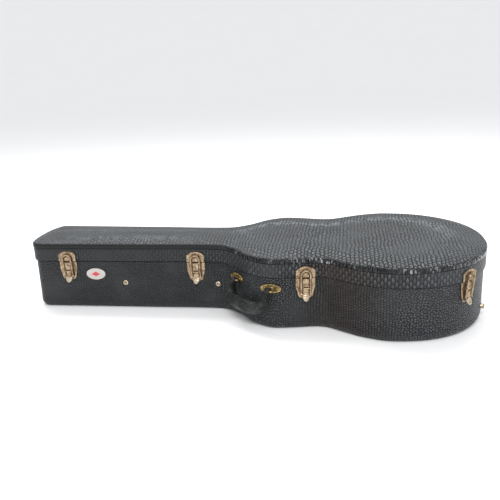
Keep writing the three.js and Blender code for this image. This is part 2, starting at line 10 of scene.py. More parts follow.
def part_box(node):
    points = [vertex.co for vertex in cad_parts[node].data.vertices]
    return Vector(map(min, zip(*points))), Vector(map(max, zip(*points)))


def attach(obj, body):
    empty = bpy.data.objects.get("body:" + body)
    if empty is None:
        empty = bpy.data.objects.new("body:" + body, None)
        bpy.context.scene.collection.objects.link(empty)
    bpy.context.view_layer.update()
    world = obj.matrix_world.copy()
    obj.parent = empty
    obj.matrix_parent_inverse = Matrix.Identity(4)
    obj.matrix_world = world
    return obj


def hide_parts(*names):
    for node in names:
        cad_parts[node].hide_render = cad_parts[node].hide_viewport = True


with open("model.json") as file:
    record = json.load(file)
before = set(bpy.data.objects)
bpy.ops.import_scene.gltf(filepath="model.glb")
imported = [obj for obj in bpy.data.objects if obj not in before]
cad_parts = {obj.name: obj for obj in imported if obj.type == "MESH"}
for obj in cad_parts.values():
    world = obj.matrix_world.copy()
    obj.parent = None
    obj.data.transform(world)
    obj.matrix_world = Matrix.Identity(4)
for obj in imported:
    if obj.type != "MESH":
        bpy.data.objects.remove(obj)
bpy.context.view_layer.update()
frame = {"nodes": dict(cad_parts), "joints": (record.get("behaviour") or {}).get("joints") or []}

# Guitar case. Shell sizes are in metres; fittings are drawn in millimetres in their wall's own frame,
# with u along the wall, w outwards and z up.
MM = 0.001
PARTING_Z = 0.122
LID_TOP_Z = 0.1655
TRAY_INSET = 0.004
WALL = 0.005
CORNER_R = 0.016
CROWN_EDGE, CROWN_RUN, CROWN_MIDDLE = 0.0085, 0.046, 0.0045
BOUT_HALF, HEAD_HALF = 0.2325, 0.087
HEAD_CENTRE, HEAD_REACH, HEAD_POWER = -0.508, 0.032, 2.5
TAIL_CENTRE, TAIL_REACH, TAIL_POWER = 0.33, 0.22, 2.2
STATIONS = MM * np.array([
    (-508, 87), (-350, 83), (-220, 80), (-100, 76.5), (-60, 78), (-20, 104), (30, 161),
    (80, 182.5), (130, 176), (180, 167), (230, 193), (270, 216), (330, 232.5), (400, 226),
])
ROUND_POINTS = 440                # points in each ring of the shell
DEEP = 0.012                      # beyond this inset the rings run straight to the centre line

JOINTS = {joint["name"]: joint for joint in frame["joints"]}


# ---------------------------------------------------------------- camera, light and floor
def add_camera():
    pitch, yaw, roll = (math.radians(angle) for angle in (17.012, -9.505, 2.169))
    flat = math.cos(pitch)
    forward = Vector((math.sin(yaw) * flat, math.cos(yaw) * flat, -math.sin(pitch)))
    level = Vector((math.cos(yaw), -math.sin(yaw), 0))
    down = forward.cross(level)
    right = level * math.cos(roll) + down * math.sin(roll)
    down = down * math.cos(roll) - level * math.sin(roll)
    data = bpy.data.cameras.new("camera")
    data.sensor_width = 36
    data.lens = 44.23
    data.clip_start = 0.05
    data.clip_end = 60
    camera = bpy.data.objects.new("camera", data)
    camera.matrix_world = Matrix((right, -down, -forward)).transposed().to_4x4()
    camera.matrix_world.translation = Vector((0.2406, -1.4272, 0.5725))
    bpy.context.scene.collection.objects.link(camera)
    bpy.context.scene.camera = camera


def add_area_light(name, place, target, size, power):
    data = bpy.data.lights.new(name, "AREA")
    data.shape = "RECTANGLE"
    data.size, data.size_y = size
    data.energy = power
    light = bpy.data.objects.new(name, data)
    light.location = place
    light.rotation_euler = (Vector(target) - Vector(place)).to_track_quat("-Z", "Y").to_euler()
    bpy.context.scene.collection.objects.link(light)


def add_studio():
    bpy.context.scene.view_settings.view_transform = "Standard"
    world = bpy.data.worlds.new("studio")
    world.use_nodes = True
    background = world.node_tree.nodes["Background"]
    background.inputs["Color"].default_value = (0.97, 0.98, 1, 1)
    background.inputs["Strength"].default_value = 0.92
    bpy.context.scene.world = world
    add_area_light("overhead", (-0.2, 1.0, 2.4), (0, 0, 0), (3.2, 0.8), 60)
    add_area_light("front", (0.35, -2.3, 2.2), (0.2, 0, 0.1), (1.2, 0.5), 52)
    add_backdrop(8.0, 9.0)


def add_backdrop(reach, sweep, sides=96):
    """A pale floor that sweeps up all the way round."""
    turns = np.radians(np.linspace(0, 50, 11))
    profile = [(reach * share, 0.0) for share in (0.001, 0.25, 0.5, 0.75, 1)]
    profile += [(reach + sweep * math.sin(a), sweep * (1 - math.cos(a))) for a in turns[1:]]
    angle = np.arange(sides) / sides * 2 * math.pi
    rings = [np.stack([r * np.cos(angle), r * np.sin(angle), np.full(sides, z)], 1) for r, z in profile]
    verts, faces = stacked(rings)
    faces = [face[::-1] for face in faces[:-1]]
    mesh = bpy.data.meshes.new("floor")
    mesh.from_pydata([tuple(map(float, v)) for v in verts], [], faces)
    mesh.polygons.foreach_set("use_smooth", [True] * len(mesh.polygons))
    nodes = Nodes("floor_paper")
    speck = nodes.noise(nodes.place(), 3, 2).outputs["Fac"]
    nodes.surface(base=nodes.mix(speck, (0.92, 0.92, 0.92), (0.90, 0.90, 0.90)), roughness=0.9)
    mesh.materials.append(nodes.material)
    floor = bpy.data.objects.new("floor", mesh)
    floor.location.z = -0.0004
    bpy.context.scene.collection.objects.link(floor)


# ---------------------------------------------------------------- materials
class Nodes:
    """A material's node tree, built by short calls."""

    def __init__(self, name):
        self.material = bpy.data.materials.new(name)
        self.material.use_nodes = True
        self.tree = self.material.node_tree
        self.shader = self.tree.nodes["Principled BSDF"]

    def add(self, kind, inputs=(), **settings):
        node = self.tree.nodes.new(kind)
        for key, value in settings.items():
            setattr(node, key, value)
        for socket, value in dict(inputs).items():
            self.put(node.inputs[socket], value)
        return node

    def put(self, socket, value):
        if isinstance(value, bpy.types.NodeSocket):
            self.tree.links.new(value, socket)
        else:
            socket.default_value = value

    def math(self, operation, a, b=0.0, clamp=False):
        return self.add("ShaderNodeMath", {0: a, 1: b}, operation=operation, use_clamp=clamp).outputs[0]

    def times(self, first, *others, clamp=False):
        for other in others:
            first = self.math("MULTIPLY", first, other, clamp)
        return first

    def less(self, a, b):
        return self.math("SUBTRACT", a, b)

    def plus(self, a, b):
        return self.math("ADD", a, b)

    def vector(self, operation, a, b):
        return self.add("ShaderNodeVectorMath", {0: a, 1: b}, operation=operation).outputs[0]

    def ramp(self, value, low, high, to_low=0.0, to_high=1.0):
        ends = {"Value": value, "From Min": low, "From Max": high, "To Min": to_low, "To Max": to_high}
        return self.add("ShaderNodeMapRange", ends, interpolation_type="SMOOTHSTEP").outputs["Result"]

    def mix(self, factor, a, b):
        """A colour from a to b."""
        a, b = (c if isinstance(c, bpy.types.NodeSocket) else (*c, 1) for c in (a, b))
        return self.blend(factor, a, b, "RGBA")

    def blend(self, share, a, b, kind="FLOAT"):
        """A number from a to b."""
        ends = {"Factor": share, "A": a, "B": b}
        return self.add("ShaderNodeMix", ends, data_type=kind).outputs["Result"]

    def noise(self, where, scale, detail=2.0, roughness=0.5):
        inputs = {"Vector": where, "Scale": scale, "Detail": detail, "Roughness": roughness}
        return self.add("ShaderNodeTexNoise", inputs)

    def cells(self, where, scale, feature, **settings):
        inputs = {"Vector": where, "Scale": scale}
        return self.add("ShaderNodeTexVoronoi", inputs, feature=feature, **settings)

    def pattern(self):
        return self.add("ShaderNodeUVMap", uv_map="pattern").outputs["UV"]

    def place(self):
        return self.add("ShaderNodeTexCoord").outputs["Object"]

    def attribute(self, name):
        return self.add("ShaderNodeAttribute", attribute_name=name).outputs["Fac"]

    def bump(self, height, distance, strength=1.0, normal=None):
        inputs = {"Height": height, "Distance": distance, "Strength": strength}
        if normal is not None:
            inputs["Normal"] = normal
        return self.add("ShaderNodeBump", inputs).outputs["Normal"]

    def surface(self, **values):
        names = {
            "base": "Base Color", "roughness": "Roughness", "metallic": "Metallic", "normal": "Normal",
            "coat": "Coat Weight", "sheen": "Sheen Weight", "sheen_roughness": "Sheen Roughness",
            "sheen_tint": "Sheen Tint", "specular": "Specular IOR Level",
        }
        for key, value in values.items():
            if isinstance(value, tuple) and len(value) == 3:
                value = (*value, 1)
            self.put(self.shader.inputs[names[key]], value)
        return self.material


def scaly_vinyl(name, cell, waviness, depth, shine, rows, plain, glitter, lightness=1.0):
    """Vinyl embossed with reptile scales: cell is a scale's size across and along the pattern, in metres,
    and depth how far it stands up. With rows, the scales stand in columns of crescents everywhere, and
    otherwise only at the waist, with pebbles elsewhere. glitter is the strength of the painted highlights,
    the scales' tips lightened as glints, and plain how much of it is left at the neck. The grooves get
    painted shade, and the lid's top a painted sheen on its shoulders."""
    n = Nodes(name)
    uv = n.pattern()
    patch = n.noise(uv, 9, 3).outputs["Fac"]
    cloud = n.noise(uv, 3.2, 2).outputs["Fac"]
    grain = n.noise(uv, 1400, 2).outputs["Fac"]
    bout = n.ramp(n.attribute("relief"), 0.55, 1.05)
    relief = n.times(n.attribute("relief"), n.ramp(patch, 0.3, 0.62, 0.4, 1.2))
    drift = n.vector("SUBTRACT", n.noise(uv, 24, 1.5).outputs["Color"], (0.5, 0.5, 0.5))
    cells = n.vector("MULTIPLY", uv, (1 / cell[0], 1 / cell[1], 1))
    cells = n.vector("ADD", cells, n.vector("MULTIPLY", drift, (waviness, waviness * 1.6, 0)))

    edge = n.cells(cells, 1.0, "DISTANCE_TO_EDGE", voronoi_dimensions="2D")
    centre = n.cells(cells, 1.0, "F1", voronoi_dimensions="2D")
    for texture in (edge, centre):
        n.put(texture.inputs["Randomness"], 0.85)
    pebble = n.ramp(edge.outputs["Distance"], 0.0, 0.19)
    pebble_glint = n.ramp(centre.outputs["Distance"], 0.5, 0.1)

    parts = n.add("ShaderNodeSeparateXYZ", {0: cells})
    column = n.math("FLOOR", parts.outputs["X"])
    across = n.less(n.less(parts.outputs["X"], column), 0.5)
    bowed = n.plus(n.plus(parts.outputs["Y"], n.times(across, across, 2.4)), n.times(column, 0.5))
    along = n.math("FRACT", bowed)
    flank = n.ramp(n.math("ABSOLUTE", across), 0.5, 0.3)
    crescent = n.times(flank, n.ramp(along, 0.0, 0.3))
    crescent_glint = n.times(n.ramp(along, 0.35, 0.75), flank, n.ramp(along, 1.0, 0.85))
    one = n.add("ShaderNodeCombineXYZ", {"X": column, "Y": n.math("FLOOR", bowed)})
    own = n.add("ShaderNodeTexWhiteNoise", {"Vector": one.outputs[0]}, noise_dimensions="2D")

    share = 1.0 if rows else n.ramp(n.attribute("warmth"), 0.08, 0.45)
    crest = n.blend(share, pebble, crescent)
    glint = n.blend(share, pebble_glint, crescent_glint)
    single = n.blend(share, centre.outputs["Color"], own.outputs["Value"])
    height = n.times(n.plus(crest, n.times(glint, 0.5)), relief)
    normal = n.bump(height, depth)
    normal = n.bump(grain, 0.0001, 0.5, normal)
    normal = n.bump(n.noise(uv, 13, 1).outputs["Fac"], 0.004, 0.45, normal)

    # light is the paler tone of the cloud patches and streaks, and also the colour of the painted
    # highlights and painted sheen
    cool, warm, light = (tuple(lightness * c for c in tone) for tone in (
        (0.0085, 0.0105, 0.0118), (0.0190, 0.0115, 0.0075), (0.090, 0.100, 0.108)))
    fade = n.times(n.less(1.0, n.times(n.attribute("warmth"), 0.75)), n.blend(bout, plain, 1.0))
    skin = n.mix(n.attribute("warmth"), cool, warm)
    skin = n.mix(n.times(n.ramp(cloud, 0.3, 0.7, 0.04, 0.22), fade), skin, light)
    # painted highlight: the scales' tips are lightened towards the light tone as glints
    shown = n.times(n.times(glint, single), n.times(relief, glitter), clamp=True)
    skin = n.mix(n.times(shown, fade), skin, light)
    # painted shade: the grooves between the scales are darkened towards near black
    crease_shade = n.times(n.less(1.0, crest), n.times(relief, 0.72), clamp=True)
    skin = n.mix(crease_shade, skin, (0.0015, 0.0015, 0.0015))
    # paler lengthwise streaks over the neck, fading out towards the bout
    pale_streaks = n.noise(n.vector("MULTIPLY", uv, (5, 42, 1)), 1.0, 3, 0.6).outputs["Fac"]
    pale_streaks = n.times(n.ramp(pale_streaks, 0.44, 0.7), n.less(1.0, bout))
    skin = n.mix(n.times(pale_streaks, 0.36 * plain), skin, light)
    # painted sheen: paler bands where the shoulder attribute is set, standing in for light reflected off
    # the lid's top
    sheen = n.times(n.attribute("shoulder"), n.ramp(n.noise(uv, 55, 3).outputs["Fac"], 0.36, 0.6))
    sheen = n.times(sheen, n.blend(crest, 0.25, 1.0), 0.55)
    skin = n.mix(sheen, skin, tuple(2.2 * c for c in light))
    rough = n.plus(n.times(crease_shade, 0.4), n.ramp(patch, 0.3, 0.7, shine + 0.1, shine))
    return n.surface(base=skin, roughness=rough, normal=normal, specular=0.4)


def glossy_edge():
    """The smooth wrapped edge: dark and glossy, and dimpled enough to glitter along the bouts, where it
    also gets painted highlight flecks and paler patches.
    """
    n = Nodes("gloss_edge")
    uv = n.pattern()
    cells = n.vector("MULTIPLY", uv, (190, 70, 1))
    dimples = n.cells(cells, 1.0, "SMOOTH_F1", voronoi_dimensions="2D")
    bout = n.ramp(n.attribute("relief"), 0.7, 1.0)
    normal = n.bump(dimples.outputs["Distance"], 0.0055, n.blend(bout, 0.06, 0.95))
    normal = n.bump(n.noise(uv, 60, 2).outputs["Fac"], 0.002, 0.35, normal)
    # paler patches along the bouts only: part wear, part painted highlight
    worn = n.ramp(n.noise(uv, 30, 3).outputs["Fac"], 0.45, 0.7)
    base = n.mix(n.times(worn, bout), (0.0020, 0.0022, 0.0025), (0.012, 0.013, 0.014))
    # painted highlight: pale flecks near the dimples' centres along the bouts, standing in for glints
    painted_glint_flecks = n.times(n.ramp(dimples.outputs["Distance"], 0.40, 0.12), bout)
    painted_glint_flecks = n.times(painted_glint_flecks, n.ramp(n.noise(uv, 22, 3).outputs["Fac"], 0.42, 0.66))
    base = n.mix(painted_glint_flecks, base, (0.25, 0.26, 0.275))
    return n.surface(base=base, roughness=n.blend(bout, 0.36, 0.10), normal=normal, specular=0.3)


def grip_leather():
    n = Nodes("grip_leather")
    place = n.place()
    pores = n.cells(place, 180, "DISTANCE_TO_EDGE")
    pore = n.ramp(pores.outputs["Distance"], 0.0, 0.22)
    worn = n.ramp(n.noise(place, 38, 4, 0.6).outputs["Fac"], 0.42, 0.62)
    normal = n.bump(pore, 0.0022, n.times(n.less(1.3, worn), 0.8))
    normal = n.bump(n.noise(place, 90, 3).outputs["Fac"], 0.0012, 0.6, normal)
    base = n.mix(worn, (0.0060, 0.0063, 0.0066), (0.026, 0.0265, 0.027))
    # painted shade: the creases between the leather's pebbles are darkened towards near black
    base = n.mix(n.less(1.0, pore), base, (0.0015, 0.0015, 0.0015))
    rough = n.ramp(worn, 0.0, 1.0, 0.5, 0.33)
    return n.surface(base=base, roughness=rough, normal=normal, specular=0.32)


def plush(name, deep, light):
    n = Nodes(name)
    place = n.place()
    nap = n.noise(place, 26, 4, 0.6).outputs["Fac"]
    pile = n.noise(place, 1500, 3).outputs["Fac"]
    base = n.mix(n.ramp(nap, 0.35, 0.68), deep, light)
    base = n.mix(n.times(pile, 0.45), base, tuple(0.35 * c for c in deep))
    normal = n.bump(pile, 0.0007, 0.8)
    normal = n.bump(nap, 0.002, 0.5, normal)
    return n.surface(
        base=base, roughness=0.95, normal=normal, sheen=0.7, sheen_roughness=0.45,
        sheen_tint=(0.75, 0.35, 0.4), specular=0.1,
    )


def antique_metal(name, bright, dull, roughness):
    n = Nodes(name)
    place = n.place()
    patina = n.noise(place, 140, 4, 0.6).outputs["Fac"]
    brush = n.noise(n.vector("MULTIPLY", place, (1, 1, 9)), 900, 2).outputs["Fac"]
    base = n.mix(n.ramp(patina, 0.38, 0.66), bright, dull)
    rough = n.plus(roughness, n.times(n.less(patina, 0.5), 0.35))
    normal = n.bump(patina, 0.0003, 0.5, n.bump(brush, 0.00005, 0.5))
    return n.surface(base=base, roughness=rough, metallic=1.0, normal=normal)


def plywood():
    n = Nodes("plywood")
    place = n.vector("MULTIPLY", n.place(), (14, 60, 160))
    grain = n.noise(place, 3, 5, 0.6).outputs["Fac"]
    base = n.mix(n.ramp(grain, 0.3, 0.7), (0.46, 0.29, 0.14), (0.27, 0.15, 0.06))
    return n.surface(base=base, roughness=0.65, normal=n.bump(grain, 0.0004, 0.6))


def enamel(name, color, roughness):
    n = Nodes(name)
    speck = n.noise(n.place(), 420, 3).outputs["Fac"]
    base = n.mix(n.ramp(speck, 0.58, 0.8, 0, 0.35), color, tuple(0.55 * c for c in color))
    rough = n.plus(roughness, n.times(speck, 0.15))
    return n.surface(base=base, roughness=rough, normal=n.bump(speck, 0.00008, 0.5), coat=0.3)


def woven_ribbon():
    n = Nodes("woven_ribbon")
    lines = {"Vector": n.place(), "Scale": 420}
    weave = n.add("ShaderNodeTexWave", lines, wave_type="BANDS", bands_direction="DIAGONAL")
    base = n.mix(weave.outputs["Fac"], (0.022, 0.006, 0.009), (0.09, 0.022, 0.034))
    return n.surface(base=base, roughness=0.6, normal=n.bump(weave.outputs["Fac"], 0.0002), sheen=0.4)


# ---------------------------------------------------------------- meshes
def smoothstep(value, low, high):
    t = np.clip((value - low) / (high - low), 0, 1)
    return t * t * (3 - 2 * t)


def covering(points):
    """How the covering varies over the case: relief is the depth of its scales, warmth a browner tone round
    the waist, and shoulder the paler bands of painted sheen on the lid's top, standing in for reflected
    light."""
    x, y = points[:, 0], points[:, 1]
    relief = 0.55 + 0.5 * smoothstep(x, -0.22, 0.16)
    warmth = np.exp(-(((x - 0.235) / 0.085) ** 2)) * smoothstep(-y, 0.02, 0.15)
    warmth = warmth * (points[:, 2] < LID_TOP_Z - 0.008)
    along = half_width(np.clip(x, STATIONS[0, 0], TAIL_CENTRE)) - np.abs(y)
    edge = np.where(x > TAIL_CENTRE, BOUT_HALF - np.hypot(x - TAIL_CENTRE, y), along)
    # painted sheen: a band about 100 mm in from the far edge, and a narrower one along the neck's near edge
    shoulder = np.exp(-(((edge - 0.100) / 0.020) ** 2)) * smoothstep(y, -0.10, 0.06)
    shoulder += 0.45 * np.exp(-(((edge - 0.030) / 0.014) ** 2)) * smoothstep(-x, 0.08, 0.2) * (y < 0)
    shoulder = shoulder * (points[:, 2] > LID_TOP_Z) * (x > -0.45)
    return {"relief": relief, "warmth": warmth, "shoulder": shoulder}


def new_piece(name, verts, faces, look, body, uvs=None, sharp=35):
    """An object from points in metres in the row frame, riding on a body. uvs is one pair per corner."""
    mesh = bpy.data.meshes.new(name)
    mesh.from_pydata([tuple(v) for v in verts], [], [tuple(f) for f in faces])
    if uvs is not None:
        layer = mesh.uv_layers.new(name="pattern")
        layer.data.foreach_set("uv", np.asarray(uvs, np.float32).ravel())
    for key, values in covering(np.asarray(verts, float)).items():
        mesh.attributes.new(key, "FLOAT", "POINT").data.foreach_set("value", values.astype(np.float32))
    for material in look if isinstance(look, (list, tuple)) else [look]:
        mesh.materials.append(material)
    mesh.polygons.foreach_set("use_smooth", [True] * len(mesh.polygons))
    mesh.set_sharp_from_angle(angle=math.radians(sharp))
    piece = bpy.data.objects.new(name, mesh)
    bpy.context.scene.collection.objects.link(piece)
    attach(piece, body)
    return piece


class Fitting:
    """A piece drawn in millimetres in a wall's own frame, from several closed solids."""

    def __init__(self, place):
        self.place = place
        self.verts = []
        self.faces = []
        self.slots = []

    def add(self, solid, slot=0):
        verts, faces = solid
        start = len(self.verts)
        self.verts.extend(verts)
        self.faces.extend([tuple(start + i for i in face) for face in faces])
        self.slots.extend([slot] * len(faces))
        return self

    def piece(self, name, look, body, slot_name, *nodes, sharp=35):
        points = [self.place @ (Vector(v) * MM) for v in self.verts]
        made = new_piece(name, points, self.faces, look, body, sharp=sharp)
        made.data.polygons.foreach_set("material_index", self.slots)
        if nodes:
            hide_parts(*nodes)
        return made


def stacked(rings, closed_ends=True):
    """A solid from rings of points, each ring running the same way round."""
    rings = [np.asarray(ring, float) for ring in rings]
    count = len(rings[0])
    faces = []
    for j in range(len(rings) - 1):
        for i in range(count):
            k = (i + 1) % count
            faces.append((j * count + i, j * count + k, (j + 1) * count + k, (j + 1) * count + i))
    if closed_ends:
        faces.append(tuple(reversed(range(count))))
        faces.append(tuple((len(rings) - 1) * count + i for i in range(count)))
    return [tuple(p) for ring in rings for p in ring], faces


def inset_polygon(points, inset):
    points = np.asarray(points, float)
    ahead = np.roll(points, -1, 0) - points
    ahead /= np.linalg.norm(ahead, axis=1)[:, None]
    normal = np.stack([ahead[:, 1], -ahead[:, 0]], 1)
    before = np.roll(normal, 1, 0)
    miter = (normal + before) / (1 + (normal * before).sum(1))[:, None]
    return points - inset * miter


def plate(points, back, front, edge=0.5, back_edge=0.0, steps=3):
    """A plate drawn in (u, z), from depth back to front, with rounded edges."""
    rings = []
    turns = [k / steps * math.pi / 2 for k in range(steps + 1)]
    if back_edge:
        for a in reversed(turns):
            rings.append((back_edge * (1 - math.cos(a)), back + back_edge * (1 - math.sin(a))))
    else:
        rings.append((0, back))
    for a in turns:
        rings.append((edge * (1 - math.cos(a)), front - edge * (1 - math.sin(a))))
    shells = []
    for inset, depth in rings:
        flat = inset_polygon(points, inset)
        shells.append([(u, -depth, z) for u, z in flat])
    return stacked(shells)


def bar(points, across, a, b, power=2.0, sides=16, loop=False):
    """A bar along points. across is the section's first axis, a and b are its half sizes on that axis
    and square to it; power 2 is an oval section, higher is squarer."""
    points = np.asarray(points, float)
    count = len(points)
    a = np.broadcast_to(np.asarray(a, float), count)
    b = np.broadcast_to(np.asarray(b, float), count)
    across = np.broadcast_to(np.asarray(across, float), (count, 3))
    if loop:
        ahead = np.roll(points, -1, 0) - np.roll(points, 1, 0)
    else:
        ahead = np.gradient(points, axis=0)
    ahead /= np.linalg.norm(ahead, axis=1)[:, None]
    first = across - (across * ahead).sum(1)[:, None] * ahead
    first /= np.linalg.norm(first, axis=1)[:, None]
    second = np.cross(ahead, first)
    angle = np.arange(sides) / sides * 2 * math.pi
    c, s = np.cos(angle), np.sin(angle)
    c = np.sign(c) * np.abs(c) ** (2 / power)
    s = np.sign(s) * np.abs(s) ** (2 / power)
    rings = [
        points[i] + np.outer(c * a[i], first[i]) + np.outer(s * b[i], second[i]) for i in range(count)
    ]
    if not loop:
        return stacked(rings)
    verts, faces = stacked([*rings, rings[0]], closed_ends=False)
    size = count * sides
    return verts[:size], [tuple(v % size for v in face) for face in faces]


def crossbar(left, right, out, up, radius, sides=16):
    """A round bar along the wall."""
    return bar([(left, -out, up), (right, -out, up)], (0, 0, 1), radius, radius, sides=sides)


def turned(profile, u, z, base, sides=28):
    """A round piece on the wall at (u, z): profile is radius and height, from the wall out to the axis."""
    angle = np.arange(sides) / sides * 2 * math.pi
    rings = [
        np.stack([u + r * np.cos(angle), np.full(sides, -(base + h)), z + r * np.sin(angle)], 1)
        for r, h in profile
    ]
    return stacked(rings)


def arc(u, z, radius, start, end, steps=10):
    turns = np.radians(np.linspace(start, end, steps + 1))
    return [(u + radius * math.cos(t), z + radius * math.sin(t)) for t in turns]


def curve(p0, p1, p2, p3, steps=8):
    t = np.linspace(0, 1, steps + 1)[1:-1, None]
    p0, p1, p2, p3 = (np.asarray(p, float) for p in (p0, p1, p2, p3))
    way = (1 - t) ** 3 * p0 + 3 * (1 - t) ** 2 * t * p1 + 3 * (1 - t) * t * t * p2 + t ** 3 * p3
    return [tuple(p) for p in way]


def oval(a, b, steps=48, centre=(0, 0)):
    return [
        (centre[0] + a * math.cos(t), centre[1] + b * math.sin(t))
        for t in np.arange(steps) / steps * 2 * math.pi
    ]


def refined(rows, times):
    """Catmull-Rom through rows of numbers, with times steps between each two."""
    rows = np.asarray(rows, float)
    padded = np.vstack([2 * rows[0] - rows[1], rows, 2 * rows[-1] - rows[-2]])
    out = []
    for i in range(1, len(padded) - 2):
        p0, p1, p2, p3 = padded[i - 1 : i + 3]
        for t in np.arange(times) / times:
            out.append(
                0.5 * (2 * p1 + (p2 - p0) * t + (2 * p0 - 5 * p1 + 4 * p2 - p3) * t * t
                       + (3 * p1 - p0 - 3 * p2 + p3) * t ** 3)
            )
    out.append(rows[-1])
    return np.array(out)


# ---------------------------------------------------------------- the shell's outline
def half_width(x):
    xs, ys = STATIONS[:, 0], STATIONS[:, 1]
    secant = np.diff(ys) / np.diff(xs)
    slope = np.zeros(len(xs))
    slope[0] = secant[0]
    for i in range(1, len(xs) - 1):
        if secant[i - 1] * secant[i] > 0:
            slope[i] = 2 * secant[i - 1] * secant[i] / (secant[i - 1] + secant[i])
    i = np.clip(np.searchsorted(xs, x, side="right") - 1, 0, len(xs) - 2)
    span = xs[i + 1] - xs[i]
    t = (x - xs[i]) / span
    s = 1 - t
    return (ys[i] * s * s * (1 + 2 * t) + ys[i + 1] * t * t * (1 + 2 * s)
            + span * t * s * (slope[i] * s - slope[i + 1] * t))


def shell_outline():
    """The lid's outline, from the head's tip along the latch side to the tail and back."""
    a = np.linspace(0, math.pi / 2 - 1e-9, 120)
    head = np.stack([
        HEAD_CENTRE - HEAD_REACH * np.cos(a) ** (2 / HEAD_POWER),
        -HEAD_HALF * np.sin(a) ** (2 / HEAD_POWER),
    ], 1)
    x = np.arange(HEAD_CENTRE + 0.002, TAIL_CENTRE, 0.002)
    side = np.stack([x, -half_width(x)], 1)
    tail = np.stack([
        TAIL_CENTRE + TAIL_REACH * np.sin(a) ** (2 / TAIL_POWER),
        -BOUT_HALF * np.cos(a) ** (2 / TAIL_POWER),
    ], 1)
    near = np.vstack([head, side, tail])
    far = near[1:-1][::-1] * (1, -1)
    loop = np.vstack([near, far, near[:1]])
    run = np.concatenate([[0], np.cumsum(np.linalg.norm(np.diff(loop, axis=0), axis=1))])
    want = np.linspace(0, run[-1], ROUND_POINTS, endpoint=False)
    points = np.stack([np.interp(want, run, loop[:, k]) for k in (0, 1)], 1)
    for _ in range(2):
        points = (np.roll(points, 1, 0) + 2 * points + np.roll(points, -1, 0)) / 4
    ahead = np.roll(points, -1, 0) - np.roll(points, 1, 0)
    ahead /= np.linalg.norm(ahead, axis=1)[:, None]
    normals = np.stack([ahead[:, 1], -ahead[:, 0]], 1)
    return points, normals, np.append(want, run[-1])


OUTLINE, NORMALS, RUN = shell_outline()


def ring(inset, share=0.0):
    """The outline moved inwards, square to the wall at first and then towards the centre line, and how
    far each point lies from the edge."""
    square = min(inset, DEEP)
    points = OUTLINE - NORMALS * square
    anchor = np.stack([
        np.clip(points[:, 0], HEAD_CENTRE + 0.028, TAIL_CENTRE),
        np.zeros(len(points)),
    ], 1)
    away = points - anchor
    reach = np.maximum(np.linalg.norm(away, axis=1), 1e-9)
    facing = np.abs((away * NORMALS).sum(1)) / reach
    walk = np.minimum((inset - square) / np.maximum(facing, 1e-3) / reach, 0.8)
    part = (walk + (1 - walk) * share)[:, None]
    moved = points - away * part
    return moved, np.linalg.norm(OUTLINE - moved, axis=1)


def crown(distance):
    edge = np.sin(math.pi / 2 * np.minimum(distance / CROWN_RUN, 1))
    middle = 1 - (1 - np.minimum(distance / BOUT_HALF, 1)) ** 2
    return CROWN_EDGE * edge + CROWN_MIDDLE * middle


def shell(name, rings, look, body, nodes, hoop=True, ripple=None, sharp=50):
    """A skin swept round the outline. rings are (inset, z, share, arched); a hoop closes on itself, and
    any other closes on the centre line at both ends."""
    levels = []
    for inset, z, share, arched in rings:
        flat, distance = ring(inset, share)
        height = z + (crown(distance) if arched else 0 * distance)
        levels.append(np.column_stack([flat, height]))
    levels = np.array(levels)
    if ripple is not None:
        levels = ripple(levels)
    count = ROUND_POINTS
    steps = np.linalg.norm(np.diff(levels, axis=0), axis=2).mean(1)
    rise = np.concatenate([[0], np.cumsum(steps)])
    if hoop:
        rise = np.append(rise, rise[-1] + np.linalg.norm(levels[0] - levels[-1], axis=1).mean())
    faces, uvs = [], []
    last = len(levels) if hoop else len(levels) - 1
    flat_points = levels.reshape(-1, 3)
    for j in range(last):
        top = (j + 1) % len(levels)
        for i in range(count):
            k = (i + 1) % count
            face = (j * count + i, j * count + k, top * count + k, top * count + i)
            faces.append(face)
            a, b, c = (flat_points[face[m]] for m in (0, 1, 3))
            normal = np.cross(b - a, c - a)
            if abs(normal[2]) > 0.75 * np.linalg.norm(normal):
                uvs.extend(flat_points[m][:2] for m in face)
            else:
                uvs.extend([
                    (RUN[i], rise[j]), (RUN[i + 1], rise[j]),
                    (RUN[i + 1], rise[j + 1]), (RUN[i], rise[j + 1]),
                ])
    piece = new_piece(name, flat_points, faces, look, body, uvs, sharp)
    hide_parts(*nodes)
    if not hoop:
        weld(piece)
    return piece


def weld(piece):
    """Merges the points that meet on the centre line."""
    work = bmesh.new()
    work.from_mesh(piece.data)
    bmesh.ops.remove_doubles(work, verts=work.verts, dist=2e-5)
    bmesh.ops.dissolve_degenerate(work, edges=work.edges, dist=1e-5)
    work.to_mesh(piece.data)
    work.free()


def puffed(piece, voxel, furthest):
    """Blows a pad up by cloth pressure, with no point moving further than furthest."""
    even = piece.modifiers.new("even", "REMESH")
    even.mode = "VOXEL"
    even.voxel_size = voxel
    keep_result(piece)
    before = coordinates(piece.data)
    cloth = piece.modifiers.new("puff", "CLOTH")
    cloth.settings.quality = 6
    cloth.settings.use_pressure = True
    cloth.settings.uniform_pressure_force = 4
    cloth.settings.effector_weights.gravity = 0
    for step in range(1, 21):
        bpy.context.scene.frame_set(step)
    keep_result(piece)
    bpy.context.scene.frame_set(1)
    move = coordinates(piece.data) - before
    length = np.maximum(np.linalg.norm(move, axis=1), 1e-9)[:, None]
    after = before + move * np.minimum(1, furthest / length)
    piece.data.vertices.foreach_set("co", after.ravel())
    piece.data.polygons.foreach_set("use_smooth", [True] * len(piece.data.polygons))
    piece.data.update()


def coordinates(mesh):
    flat = np.empty(3 * len(mesh.vertices))
    mesh.vertices.foreach_get("co", flat)
    return flat.reshape(-1, 3)


def keep_result(piece):
    """Applies the piece's modifiers."""
    shown = piece.evaluated_get(bpy.context.evaluated_depsgraph_get())
    result = bpy.data.meshes.new_from_object(shown)
    piece.modifiers.clear()
    piece.data = result


